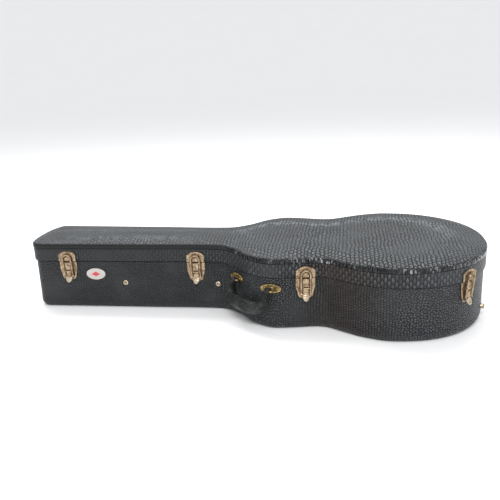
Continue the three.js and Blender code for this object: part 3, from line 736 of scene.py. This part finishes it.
def quarter(inset, z, radius, start, end, steps, arched=False):
    """Rings round a rounded corner whose centre is at (inset, z)."""
    turns = np.radians(np.linspace(start, end, steps + 1))
    return [(inset - radius * math.cos(t), z + radius * math.sin(t), 0.0, arched) for t in turns]


def level(pairs, arched=False):
    """Rings at pairs of inset and height."""
    return [(inset, z, 0, arched) for inset, z in pairs]


def closing(z, shares, arched=False):
    """Rings that go on from the last inset to the centre line."""
    return [(CROWN_RUN, z, share, arched) for share in shares]


# ---------------------------------------------------------------- tray and lid
def add_tray(look):
    inner = TRAY_INSET + WALL + 0.5 * MM
    lip = 1.6 * MM
    top = PARTING_Z - 0.5 * MM
    foot = quarter(TRAY_INSET + CORNER_R, CORNER_R, CORNER_R, -90, 0, 12)
    floor = closing(0.0, (1.0, 0.6, 0.25)) + level([(0.032, 0.0)])
    proud = TRAY_INSET - 0.35 * MM
    seam = level([(TRAY_INSET, 0.0195), (proud, 0.0200), (proud, 0.0212), (TRAY_INSET, 0.0217)])
    wall = level((TRAY_INSET, z) for z in np.linspace(0.026, top - 0.006, 12))
    edge = (quarter(TRAY_INSET + lip, top - lip, lip, 0, 90, 4)
            + quarter(inner - lip, top - lip, lip, 90, 180, 4))
    well = level([(inner, 0.06), (inner, 0.018), (inner + 1.4 * MM, 0.0126), (inner + 4.8 * MM, 0.0082),
                  (inner + 0.010, 0.006), (CROWN_RUN, 0.006)]) + closing(0.006, (1.0,))
    shell("tray_shell", floor + foot + seam + wall + edge + well, look, "tray",
          ["base_side_wall", "base_bottom_panel"], hoop=False)


def add_lid(wall_look, top_look, edge_look):
    low = PARTING_Z + 0.5 * MM
    lip = 1.8 * MM
    bead_low = 0.154
    shoulder = 0.160
    rings = (
        quarter(WALL - 1.2 * MM, low + 1.2 * MM, 1.2 * MM, 180, 270, 3)
        + quarter(lip, low + lip, lip, -90, 0, 4)
        + level((0, z) for z in np.linspace(low + 0.004, bead_low - 0.002, 6))
        + level([(0.5 * MM, bead_low - 0.6 * MM), (2.3 * MM, bead_low - 0.3 * MM)])
        + level([(2.3 * MM, shoulder), (WALL, shoulder)])
    )
    shell("lid_skirt", rings, wall_look, "lid", ["lid_side_wall"])
    bulge = level((inset * MM, bead_low + rise * MM) for inset, rise in
                  ((2, 0), (0.2, 0.1), (-0.7, 0.9), (-1, 2.4), (-0.8, 6)))
    rolled = quarter(2.2 * MM, LID_TOP_Z - 3 * MM, 3.2 * MM, 0, 80, 7)
    shell("lid_bead", bulge + rolled + level([(2.2 * MM, LID_TOP_Z - 2 * MM)]), edge_look, "lid",
          ["lid_edge_bead"], ripple=uneven(0.35 * MM))
    under = shoulder + 0.3 * MM
    deep = closing(under, (1.0, 0.7, 0.4, 0.15), True)
    below = level(((inset * MM, under) for inset in (46, 34, 22, 12, 4)), True)
    above = level(((inset * MM, LID_TOP_Z) for inset in
                   (2.3, 3.5, 6, 9, 12, 16, 20, 24, 28, 32, 36, 40, 43, 46)), True)
    across = closing(LID_TOP_Z, (0.06, 0.13, 0.21, 0.3, 0.4, 0.5, 0.6, 0.7, 0.8, 0.9, 1.0), True)
    shell("lid_top", deep + below + level([(2.3 * MM, under)]) + above + across, top_look, "lid",
          ["lid_top_panel"], hoop=False)


def uneven(amount):
    """Hand-wrapped covering: the skin stands a little more or less proud along its run."""
    def ripple(levels):
        turn = RUN[:-1] / RUN[-1] * 2 * math.pi
        wobble = (np.sin(37 * turn + 1) + 0.7 * np.sin(61 * turn + 2.3) + 0.5 * np.sin(103 * turn)) / 3
        levels[:, :, 0] += NORMALS[:, 0] * wobble * amount
        levels[:, :, 1] += NORMALS[:, 1] * wobble * amount
        return levels
    return ripple


def add_linings(look):
    outer = 9.8 * MM
    thick = 12.2 * MM
    low, high = 18.1 * MM, 91.7 * MM
    puff = level((outer + thick - swell * MM, z) for swell, z in
                 ((0.2, 0.0835), (0.9, 0.07), (1.2, 0.055), (0.9, 0.038), (0.2, 0.024), (1.2, 0.0185)))
    outside = level([(outer + 0.6 * MM, low), (outer + 0.2 * MM, 0.03), (outer + 0.2 * MM, 0.085)])
    top = quarter(outer + 4.2 * MM, high - 4 * MM, 4 * MM, 0, 90, 4)
    top += quarter(outer + thick - 4.2 * MM, high - 4 * MM, 4 * MM, 90, 170, 5)
    pad = shell("side_padding", outside + top + puff, look, "tray", ["base_side_pad"],
                ripple=uneven(0.5 * MM))
    edge = 1.4 * MM
    rings = (quarter(outer + edge, 130 * MM - edge, edge, 0, 90, 4)
             + quarter(outer + 3 * MM - edge, 130 * MM - edge, edge, 90, 180, 4)
             + level((outer + inset * MM, z) for inset, z in
                     ((3, 0.110), (3, 0.0925), (0.1, 0.0925), (0.1, 0.110))))
    shell("valance", rings, look, "tray", ["base_valance"])
    inner = 9.5 * MM
    profile = [(17, 6.4), (10.9, 6.6), (5.8, 8.8), (2.2, 13.2), (1.6, 16), (2.6, 17.4), (5, 17.7),
               (20, 17.7), (34, 17.5)]
    rings = (closing(6.4 * MM, (1.0, 0.4)) + level((inner + inset * MM, z * MM) for inset, z in profile)
             + closing(17.5 * MM, (0.1, 0.3, 0.5, 0.7, 0.85, 1.0)))
    pad = shell("floor_padding", rings, look, "tray", ["base_floor_pad"], hoop=False)


def add_lid_linings(look):
    low, high = PARTING_Z + 1.2 * MM, 159.5 * MM
    outer = WALL + 0.4 * MM
    rings = (level([(outer, high), (WALL + 3.6 * MM, high), (WALL + 3.6 * MM, 0.14)])
             + quarter(WALL + 2.4 * MM, low + 1.2 * MM, 1.2 * MM, 180, 270, 3)
             + level([(outer, low), (outer, 0.14)]))
    shell("lid_side_plush", rings, look, "lid", ["lid_side_lining"])
    under, top = 154.6 * MM, 159.5 * MM
    rings = (
        closing(under, (1.0, 0.8, 0.6, 0.4, 0.2, 0.08), True)
        + level(((inset * MM, under) for inset in (46, 36, 26, 18, 13)), True)
        + level([(10.2 * MM, under + 0.7 * MM), (9.2 * MM, under + 2.4 * MM)], True)
        + level([(9.4 * MM, top - 0.4 * MM)], True)
        + level(((inset * MM, top) for inset in (12, 28, 46)), True)
        + closing(top, (0.4, 1.0), True)
    )
    pad = shell("lid_padding", rings, look, "lid", ["lid_ceiling_pad"], hoop=False)


# ---------------------------------------------------------------- frames of the fittings
def wall_frame(origin, turn):
    """Local +X along the wall, -Y outwards, +Z up."""
    return Matrix.Translation(origin) @ Matrix.Rotation(turn, 4, "Z")


def node_points(node):
    return coordinates(frame["nodes"][node].data)


def seat_frame(node):
    """The frame of a flat fitting: its thin direction is outwards, its back face is at w = 0."""
    points = node_points(node)
    centre = (points.min(0) + points.max(0)) / 2
    guess = NORMALS[np.argmin(np.linalg.norm(OUTLINE - centre[:2], axis=1))]
    best, span = guess, np.inf
    for angle in np.radians(np.linspace(-12, 12, 97)):
        c, s = math.cos(angle), math.sin(angle)
        way = np.array([c * guess[0] - s * guess[1], s * guess[0] + c * guess[1]])
        reach = np.ptp(points[:, :2] @ way)
        if reach < span:
            best, span = way, reach
    depth = points[:, :2] @ best
    along = np.array([-best[1], best[0]])
    run = points[:, :2] @ along
    middle = (run.min() + run.max()) / 2
    origin = best * depth.min() + along * middle
    turn = math.atan2(best[1], best[0]) + math.pi / 2
    return wall_frame((origin[0], origin[1], centre[2]), turn)


def latch_frame(n):
    joint = JOINTS[f"latch_lever_{n}_pivot"]
    turn = math.atan2(-joint["axis"][1], -joint["axis"][0])
    x, y = joint["pos_m"][:2]
    out = (math.sin(turn), -math.cos(turn))
    return wall_frame((x - out[0] * PIVOT_OUT * MM, y - out[1] * PIVOT_OUT * MM, 0), turn)


# ---------------------------------------------------------------- screws, rivets and rims
def rivet(u, z, base, radius=1.7, height=0.9):
    turns = np.radians([0, 25, 50, 75])
    profile = [(radius, 0), *((radius * math.cos(t), height * math.sin(t)) for t in turns[1:])]
    return turned(profile, u, z, base, 16)


def slot_mark(u, z, base, length, lean):
    """The slot of a screw head, drawn as a thin plate set into the head; in the dark material it is painted
    shade where a cut slot would be shaded.
    """
    c, s = math.cos(lean), math.sin(lean)
    half, wide = length / 2, 0.32
    corners = [(-half, -wide), (half, -wide), (half, wide), (-half, wide)]
    return plate([(u + c * a - s * b, z + s * a + c * b) for a, b in corners], base - 0.6, base, 0.05)


def rim(points, inset, depth, width=0.75, height=0.55):
    """A raised bead along a plate's edge."""
    line = inset_polygon(points, inset)
    path = [(u, -depth, z) for u, z in line]
    return bar(path, (0, 1, 0), height, width, sides=8, loop=True)


# ---------------------------------------------------------------- latches
LATCH_HALF = 21.5
PIVOT_OUT, PIVOT_UP = 4.5, 96.5       # the lever's pivot
PIN_OUT, PIN_UP = 4.9, 84             # the pin that joins the lever to the hasp
HOOP_HALF, HOOP_SPRING = 10.2, 129    # the hasp's hoop, and the height its arch starts at
SHIELD = (
    [(-LATCH_HALF, 103), *curve((-LATCH_HALF, 103), (-LATCH_HALF, 96), (-18.5, 95), (-17.2, 84))]
    + arc(-8.2, 84, 9, 180, 270, 6) + arc(8.2, 84, 9, 270, 360, 6)
    + [*curve((17.2, 84), (18.5, 95), (LATCH_HALF, 96), (LATCH_HALF, 103)), (LATCH_HALF, 103)]
    + [(LATCH_HALF, 112), (LATCH_HALF, 120.5), (-LATCH_HALF, 120.5), (-LATCH_HALF, 112)]
)
KEEPER = (
    [(-LATCH_HALF, 122.9), (LATCH_HALF, 122.9), (LATCH_HALF, 130), (LATCH_HALF, 139), (20, 140.5)]
    + curve((20, 140.5), (6.7, 150.5), (-6.7, 150.5), (-20, 140.5), 12)
    + [(-20, 140.5), (-LATCH_HALF, 139), (-LATCH_HALF, 130)]
)


def band(points, first, depth):
    """A raised band along a plate's edge, open on the side where it meets the other plate."""
    line = inset_polygon(points, 2.7)
    line = np.roll(line, -first, axis=0)
    path = [(u, -depth, z) for u, z in line]
    return bar(path, (0, 1, 0), 0.75, 2.1, 2.6, sides=10)


def arch(half, low, spring, steps=12):
    return [(-half, low), (half, low), *arc(0, spring, half, 0, 180, steps)]


def add_latch(n, metal, dark_metal_and_shade, bright):
    place = latch_frame(n)
    nodes = {key: f"latch_{key}_{n}" for key in ("base_plate", "keeper", "lever", "hasp")}
    out = np.array((place.col[1][:3])) * -1
    step = float((node_points(nodes["keeper"]) @ out).min() - np.array(place.translation) @ out) / MM
    lift = step - 4

    base = Fitting(place)
    base.add(plate(SHIELD, 0, 1.2, 0.5)).add(band(SHIELD, len(SHIELD) - 2, 1.2))
    # painted shade: a darker inlay behind the lever and the hasp, where they would shade the plate
    base.add(plate([(-15, 84), (15, 84), (15, 120.2), (-15, 120.2)], 1.0, 1.35, 0.1), 1)
    base.add(plate([(-7, 101), (7, 101), (7, 119.6), (-7, 119.6)], 1, 6, 1.1))
    for z in (101.9, 117.2):
        base.add(crossbar(-6.6, 6.6, 5.9, z, 0.9, 10))
    base.add(rivet(0, 110, 5.9, 1.3, 0.7))
    for u in (-5.85, 5.85):
        base.add(crossbar(u - 1.15, u + 1.15, PIVOT_OUT, PIVOT_UP, 2.7))
        base.add(bar([(u, -2.6, 98), (u, -2.6, 103)], (1, 0, 0), 1.15, 1.9, 6))
    base.add(crossbar(-6.8, 6.8, PIVOT_OUT, PIVOT_UP, 1.2))
    base.piece(f"latch_plate_{n}", [metal, dark_metal_and_shade], "tray", "antique_brass", nodes["base_plate"])

    keeper = Fitting(place)
    keeper.add(plate(KEEPER, step, step + 1.2, 0.5)).add(band(KEEPER, 1, step + 1.2))
    # painted shade: a darker inlay round the keeper's eyelet, as on the plate
    keeper.add(plate(arch(15, 123.2, 127.8), step + 1.0, step + 1.35, 0.1), 1)
    keeper.add(plate(arch(7, 124, 127.6), step + 0.8, step + 4.4, 1.1))
    eyelet = [(u, -(step + 4.4), z) for u, z in oval(3.7, 3.7, 24, (0, 128.4))]
    keeper.add(bar(eyelet, (0, 1, 0), 0.5, 0.6, sides=8, loop=True))
    keeper.add(rivet(0, 128.4, step + 4.2, 1.2, 0.7), 1)
    keeper.piece(f"latch_catch_{n}", [metal, dark_metal_and_shade], "lid", "antique_brass", nodes["keeper"])

    lever = Fitting(place)
    arm = refined([(4.7, 93.2, 6.0, 1.3), (4.9, 88, 6.2, 1.5), (5.0, 82, 6.3, 1.6), (5.2, 79.5, 6, 1.4)], 3)
    tip = refined([
        (5.5, 82.6, 6.4, 0.7), (5.8, 81.8, 7.7, 1.4), (6.4, 79, 8.0, 1.8), (7.6, 76, 7.3, 2.0),
        (9.0, 73, 5.9, 1.9), (10.1, 70.9, 4.0, 1.6), (10.7, 69.6, 1.9, 1.0),
    ], 4)
    for rows, power, slot in ((arm, 4, 0), (tip, 2.6, 1)):
        path = [(0, -w, z) for w, z in rows[:, :2]]
        lever.add(bar(path, (1, 0, 0), rows[:, 2], rows[:, 3], power, 20), slot)
    lever.add(crossbar(-4.4, 4.4, PIVOT_OUT, PIVOT_UP, 2.6))
    lever.add(bar([(0, -4.6, 97), (0, -4.7, 91)], (1, 0, 0), 4.3, 1.5, 4))
    lever.add(crossbar(-6.3, 6.3, PIN_OUT, PIN_UP, 2.6))
    lever.piece(f"latch_thumb_{n}", [metal, bright], f"latch_lever_{n}_body", "antique_brass",
                nodes["lever"])

    hasp = Fitting(place)
    rise = np.linspace(PIN_UP, HOOP_SPRING, 12)
    flat = [(-HOOP_HALF, z) for z in rise] + arc(0, HOOP_SPRING, HOOP_HALF, 180, 0, 18)[1:-1]
    flat = np.array(flat + [(HOOP_HALF, z) for z in rise[::-1]])
    lean = PIN_OUT + (5.35 + lift) * np.clip((flat[:, 1] - PIN_UP) / 48, 0, 1)
    path = np.column_stack([flat[:, 0], -lean, flat[:, 1]])
    side = np.column_stack([flat[:, 0], 0 * lean, np.maximum(flat[:, 1] - HOOP_SPRING, 0)])
    hasp.add(bar(path, side, 2.0, 1.3, 3.6, 16))
    crest = path + (0, -1.35, 0)
    hasp.add(bar(crest[1:-1], side[1:-1], 0.75, 0.55, sides=8))
    for u in (-HOOP_HALF, HOOP_HALF):
        hasp.add(crossbar(u - 2, u + 2, PIN_OUT, PIN_UP, 2.6))
    hasp.add(crossbar(-12.6, 12.6, PIN_OUT, PIN_UP, 1.2))
    hasp.piece(f"latch_hoop_{n}", metal, f"latch_hasp_{n}_body", "antique_brass", nodes["hasp"])


# ---------------------------------------------------------------- handle
GRIP_TILT = math.radians(18)
EYE = 55.5
GRIP_PATH = [
    (-55.5, -6.6, 3.0, 3.0), (-55.5, -5.6, 6.0, 5.8), (-55.5, -3, 7.5, 7.4), (-55.5, 1, 7.8, 8),
    (-56, 7.5, 8, 8.6), (-56.6, 17, 9.2, 9.6), (-53.8, 28, 11, 11.4), (-45.5, 38, 13, 13),
    (-30, 44, 15, 14.6), (-10, 45.5, 16, 15.4),
]


def add_handle(grip_look, thread_look, metal, dark_metal_and_shade):
    joint = JOINTS["handle_swing"]
    turn = math.atan2(-joint["axis"][1], -joint["axis"][0])
    place = wall_frame(joint["pos_m"], turn)
    half = [list(row) for row in GRIP_PATH]
    rows = refined(half + [[-row[0], *row[1:]] for row in half[::-1]], 6)
    drop = np.array([0, -math.sin(GRIP_TILT), -math.cos(GRIP_TILT)])
    path = np.array([(row[0], 0, 0) for row in rows]) + rows[:, 1:2] * drop
    ahead = np.gradient(path, axis=0)
    flat_side = np.cross(ahead, np.cross(drop, (1, 0, 0)))
    grip = Fitting(place)
    grip.add(bar(path, flat_side, rows[:, 2], rows[:, 3], 2.3, 28))
    grip.piece("grip", grip_look, "handle", "grip_black", "handle_grip", sharp=70)
    seam = Fitting(place)
    deep = np.cross(drop, (1, 0, 0))
    sewn = slice(14, -14)
    stitch_rows = rows[sewn]
    line = path[sewn]
    inner = flat_side[sewn] / np.linalg.norm(flat_side[sewn], axis=1)[:, None]
    run = np.concatenate([[0], np.cumsum(np.linalg.norm(np.diff(line, axis=0), axis=1))])
    for offset in (-1, 1):
        edge = line + inner * (stitch_rows[:, 2:3] * -0.72) * offset
        edge = edge - deep * (stitch_rows[:, 3:4] * 0.70)
        for start in np.arange(2, run[-1] - 4, 5.2):
            ends = [np.array([np.interp(start + d, run, edge[:, k]) for k in range(3)])
                    for d in (0, 1.6, 3.2)]
            ends[1] = ends[1] - deep * 0.35
            seam.add(bar(ends, deep, 0.38, 0.42, sides=6))
    seam.piece("grip_stitching", thread_look, "handle", "grip_black")

    for name, side in (("left", -1), ("right", 1)):
        dish = seat_frame(f"handle_plate_{name}")
        shape = oval(24, 10.5)
        cup = Fitting(dish)
        cup.add(plate(shape, 0, 1.5, 0.7)).add(rim(shape, 2.2, 1.4, 2.0, 1.1))
        # painted shade: a darker oval in the cup's hollow
        cup.add(plate(oval(18.5, 5.6), 1.2, 1.7, 0.15), 1)
        cup.add(plate(oval(7, 4.4), 1.2, 3.0, 1.0))
        for u in (-13.8, 13.8):
            cup.add(rivet(u, 0, 1.6, 2.9, 1.5)).add(slot_mark(u, 0, 3.12, 4.6, 0.5 * side), 1)
        cup.piece(f"handle_cup_{name}", [metal, dark_metal_and_shade], "tray", "antique_brass",
                  f"handle_plate_{name}")
        reach = (place.inverted() @ dish.translation)[1] / MM
        u0 = side * EYE
        leg, bend = 10.6, 3.4
        wire = [(u0 - leg, reach - 1 - side * 5.5, 0), (u0 - leg, bend + 3, 0)]
        wire += [(u0 - leg + bend * (1 - math.cos(t)), bend - bend * math.sin(t), 0)
                 for t in np.radians((0, 30, 60, 90))]
        wire += [(u0 + leg - bend * (1 - math.cos(t)), bend - bend * math.sin(t), 0)
                 for t in np.radians((90, 60, 30, 0))]
        wire += [(u0 + leg, bend + 3, 0), (u0 + leg, reach - 1 + side * 5.5, 0)]
        loop = Fitting(place)
        loop.add(bar(wire, (0, 0, 1), 2.2, 2.2, sides=18))
        loop.piece(f"handle_loop_{name}", metal, "tray", "antique_brass", f"handle_staple_{name}")


# ---------------------------------------------------------------- studs, badge and hinges
def add_studs(metal, dark_metal_and_shade):
    collar = [(6.5, 0), (6.5, 0.9), (6.1, 1.8), (5.3, 2.4), (4.3, 2.3), (3.6, 1.5), (3.4, 1.0)]
    for side in ("front", "back"):
        for n in (1, 2):
            stud = Fitting(seat_frame(f"stud_{side}_{n}"))
            stud.add(turned(collar, 0, 0, 0)).add(rivet(0, 0, 0.95, 3.1, 1.2), 1)
            stud.add(slot_mark(0, 0, 2.2, 4.4, 0.7 * n), 0)
            stud.piece(f"stud_{side}_ring_{n}", [metal, dark_metal_and_shade], "tray", "antique_brass",
                       f"stud_{side}_{n}")
        foot = Fitting(seat_frame(f"tail_bumper_{side}"))
        foot.add(turned([(7, 0), (7, 1.0), (6.2, 1.8), (4.6, 2.2), (4.4, 4.0), (5.4, 4.6), (5.8, 5.6),
                         (5.5, 6.7), (4.3, 7.3), (2, 7.5)], 0, 0, 0))
        foot.piece(f"tail_stud_{side}", metal, "tray", "antique_brass", f"tail_bumper_{side}")


def add_badge(white, red, metal):
    place = seat_frame("badge_plate")
    shape = oval(24, 14.5, 72)
    badge = Fitting(place)
    badge.add(plate(shape, 0, 1.3, 0.5)).add(rim(shape, 0.9, 1.25, 0.7, 0.35), 1)
    badge.piece("badge_disc", [white, metal], "tray", "badge_white", "badge_plate")
    emblem = Fitting(place)
    lozenge = [(-11, 0), (-5.5, -3), (0, -6), (5.5, -3), (11, 0), (5.5, 3), (0, 6), (-5.5, 3)]
    emblem.add(plate(lozenge, 1.2, 1.9, 0.4))
    emblem.piece("badge_lozenge", red, "tray", "badge_red", "badge_emblem")


def dress_node(node, look, bevel=0.25 * MM):
    """A CAD node whose shape is right keeps it, with softened edges and a better material."""
    piece = frame["nodes"][node]
    if not piece.material_slots:
        piece.data.materials.append(look)
    for material_slot in piece.material_slots:
        material_slot.link = "OBJECT"
        material_slot.material = look
    if bevel:
        modifier = piece.modifiers.new("edges", "BEVEL")
        modifier.width = bevel
        modifier.segments = 2
        modifier.limit_method = "ANGLE"
        modifier.angle_limit = math.radians(40)


def add_hinges(metal, dark_metal_and_shade):
    turn = math.atan2(-JOINTS["lid_hinge"]["axis"][1], -JOINTS["lid_hinge"]["axis"][0])
    for n in (1, 2, 3):
        dress_node(f"hinge_base_leaf_{n}", metal)
        dress_node(f"hinge_lid_leaf_{n}", metal)
        for part, body, z in (("base", "tray", 105), ("lid", "lid", 138)):
            points = node_points(f"hinge_{part}_leaf_{n}")
            centre = (points.min(0) + points.max(0)) / 2
            screws = Fitting(Matrix.Identity(4))
            for s in (-10.5, 10.5):
                spot = np.array([centre[0] + s * MM * math.cos(turn), 0])
                far = np.argmin(np.abs(OUTLINE[:, 0] - spot[0]) + (OUTLINE[:, 1] < 0))
                normal = NORMALS[far]
                inset = TRAY_INSET if part == "base" else 0.0
                foot = OUTLINE[far] - normal * (inset - 1.2 * MM)
                place = wall_frame((foot[0], foot[1], z * MM),
                                   math.atan2(normal[1], normal[0]) + math.pi / 2)
                marks = (rivet(0, 0, 0, 2.4, 1.1), slot_mark(0, 0, 1.2, 3.6, 0.4 * s))
                for slot, (verts, faces) in enumerate(marks):
                    screws.add(([place @ (Vector(v) * MM) / MM for v in verts], faces), slot)
            screws.piece(f"hinge_screws_{part}_{n}", [metal, dark_metal_and_shade], body, "antique_brass")


# ---------------------------------------------------------------- accessory box and neck cradle
def node_box(node):
    """A CAD node's low and high corners in millimetres."""
    return (np.array(corner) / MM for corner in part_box(node))


def add_box_walls(soft, wood):
    def on_box(node, axis, look, slot_name, edge, name):
        low, high = node_box(node)
        middle, size = (low + high) / 2, high - low
        lengthwise = axis == "y"
        back = (middle[0], high[1], middle[2]) if lengthwise else (low[0], middle[1], middle[2])
        part = Fitting(wall_frame(Vector(back) * MM, math.radians(0 if lengthwise else 90)))
        wide, deep = (size[0], size[1]) if lengthwise else (size[1], size[0])
        part.add(plate(rounded_box(wide / 2, size[2] / 2, 1.2), 0, deep, edge, edge))
        part.piece(name, look, "tray", slot_name, node)

    on_box("compartment_end_panel", "x", soft, "plush", 1.5, "box_end")
    on_box("compartment_front_panel", "y", wood, "ply", 0.4, "box_side_front")
    on_box("compartment_back_panel", "y", wood, "ply", 0.4, "box_side_back")


def add_cradle(soft):
    low, high = node_box("neck_cradle")
    half, base, top = high[1], low[2], high[2]
    notch, floor, round_r = 31, 60, 12
    shape = ([(-half + 1, base), (half - 1, base), (half, base + 2), (half, top - 4)]
             + arc(half - 4, top - 4, 4, 0, 90, 4)[1:] + arc(notch + 5, top - 5, 5, 90, 180, 5)
             + [(notch, (floor + top) / 2)]
             + arc(notch - round_r, floor + round_r, round_r, 0, -90, 6)
             + arc(-notch + round_r, floor + round_r, round_r, -90, -180, 6)
             + [(-notch, (floor + top) / 2)] + arc(-notch - 5, top - 5, 5, 0, 90, 5)
             + arc(-half + 4, top - 4, 4, 90, 180, 4) + [(-half, base + 2)])
    cradle = Fitting(wall_frame((high[0] * MM, 0, 0), math.radians(90)))
    slack = 1.8
    shape = inset_polygon(shape, slack)
    cradle.add(plate(shape, slack + low[0] - high[0], -slack, 3.5, 3.5, 4))
    made = cradle.piece("cradle", soft, "tray", "plush", "neck_cradle", sharp=60)
    if slack:
        puffed(made, 3 * MM, 2.6 * MM)


def add_box_lid(soft, ribbon, metal):
    low, high = node_box("compartment_lid")
    hinge = JOINTS["compartment_lid_hinge"]["pos_m"]
    middle = (low[0] + high[0]) / 2
    facing_up = Matrix.Translation(Vector((middle, 0, low[2])) * MM) @ Matrix.Rotation(-math.pi / 2, 4, "X")
    lid = Fitting(facing_up)
    half = (high[0] - low[0]) / 2
    lid.add(plate(rounded_box(half, 46.6, 4, (0, -1.2)), 0, 3.2, 1.3, 1.0))
    lid.piece("box_lid", soft, "compartment_lid_body", "plush", "compartment_lid", sharp=60)
    knuckle = Fitting(Matrix.Translation((middle * MM, hinge[1], hinge[2])))
    for s in (-48, 0, 48):
        knuckle.add(crossbar(s - 12, s + 12, 0, 0, 2.5, 20))
        knuckle.add(bar([(s, 0.2, -0.9), (s, -8, -2.3)], (1, 0, 0), 12, 0.6, 8, 12))
    knuckle.piece("box_lid_knuckles", metal, "compartment_lid_body", "antique_brass")
    tab = Fitting(Matrix.Translation((middle * MM, 0, 0)))
    path = refined([(0, -20, 55.7), (0, -32, 55.8), (0, -41, 56.6), (0, -46, 57.4), (0, -47.6, 56.4),
                    (0, -46.2, 55.6), (0, -38, 55.5)], 5)
    tab.add(bar(path, (1, 0, 0), 8.5, 0.35, 6, 12))
    tab.piece("box_lid_tab", ribbon, "compartment_lid_body", "ribbon", "compartment_pull_tab")
    dress_node("compartment_hinge_rod", metal, 0)


def rounded_box(half_u, half_z, radius, centre=(0, 0)):
    u, z = half_u - radius, half_z - radius
    x0, z0 = centre
    return (arc(x0 - u, z0 - z, radius, 180, 270, 4) + arc(x0 + u, z0 - z, radius, 270, 360, 4)
            + arc(x0 + u, z0 + z, radius, 0, 90, 4) + arc(x0 - u, z0 + z, radius, 90, 180, 4))


# ---------------------------------------------------------------- assembly
add_camera()
add_studio()

WALL_VINYL = scaly_vinyl("vinyl_tray", (0.0062, 0.0054), 1.2, 0.0019, 0.30, False, 0.12, 0.95)
SKIRT_VINYL = scaly_vinyl("vinyl_skirt", (0.0072, 0.0150), 0.5, 0.0018, 0.31, True, 0.10, 0.85)
TOP_VINYL = scaly_vinyl("vinyl_top", (0.0082, 0.0120), 1.5, 0.0013, 0.37, True, 0.7, 0.62, 1.15)
BEAD_VINYL = glossy_edge()
PLUSH = plush("plush", (0.045, 0.009, 0.015), (0.105, 0.022, 0.034))
BRASS = antique_metal("antique_brass", (0.43, 0.325, 0.215), (0.20, 0.135, 0.08), 0.36)
PALE_BRASS = antique_metal("pale_brass", (0.66, 0.56, 0.43), (0.42, 0.33, 0.22), 0.27)
GOLD_BRASS = antique_metal("gold_brass", (0.42, 0.31, 0.125), (0.15, 0.11, 0.05), 0.38)
# dark metal: the studs' screw heads in their own colour, and painted shade in the latch inlays, the cups'
# hollows and the screw slots
DARK_METAL_AND_SHADE = antique_metal("dark_metal_and_painted_shade", (0.22, 0.155, 0.10), (0.09, 0.062, 0.04), 0.5)

add_tray(WALL_VINYL)
add_lid(SKIRT_VINYL, TOP_VINYL, BEAD_VINYL)
add_linings(PLUSH)
add_lid_linings(PLUSH)
for number in (1, 2, 3, 4):
    add_latch(number, BRASS, DARK_METAL_AND_SHADE, PALE_BRASS)
add_handle(grip_leather(), enamel("thread", (0.045, 0.045, 0.045), 0.6), GOLD_BRASS, DARK_METAL_AND_SHADE)
add_studs(PALE_BRASS, DARK_METAL_AND_SHADE)
add_badge(enamel("badge_white", (0.43, 0.405, 0.40), 0.4), enamel("badge_red", (0.5, 0.03, 0.025), 0.3),
          PALE_BRASS)
add_hinges(BRASS, DARK_METAL_AND_SHADE)
add_box_walls(PLUSH, plywood())
add_cradle(PLUSH)
add_box_lid(PLUSH, woven_ribbon(), BRASS)
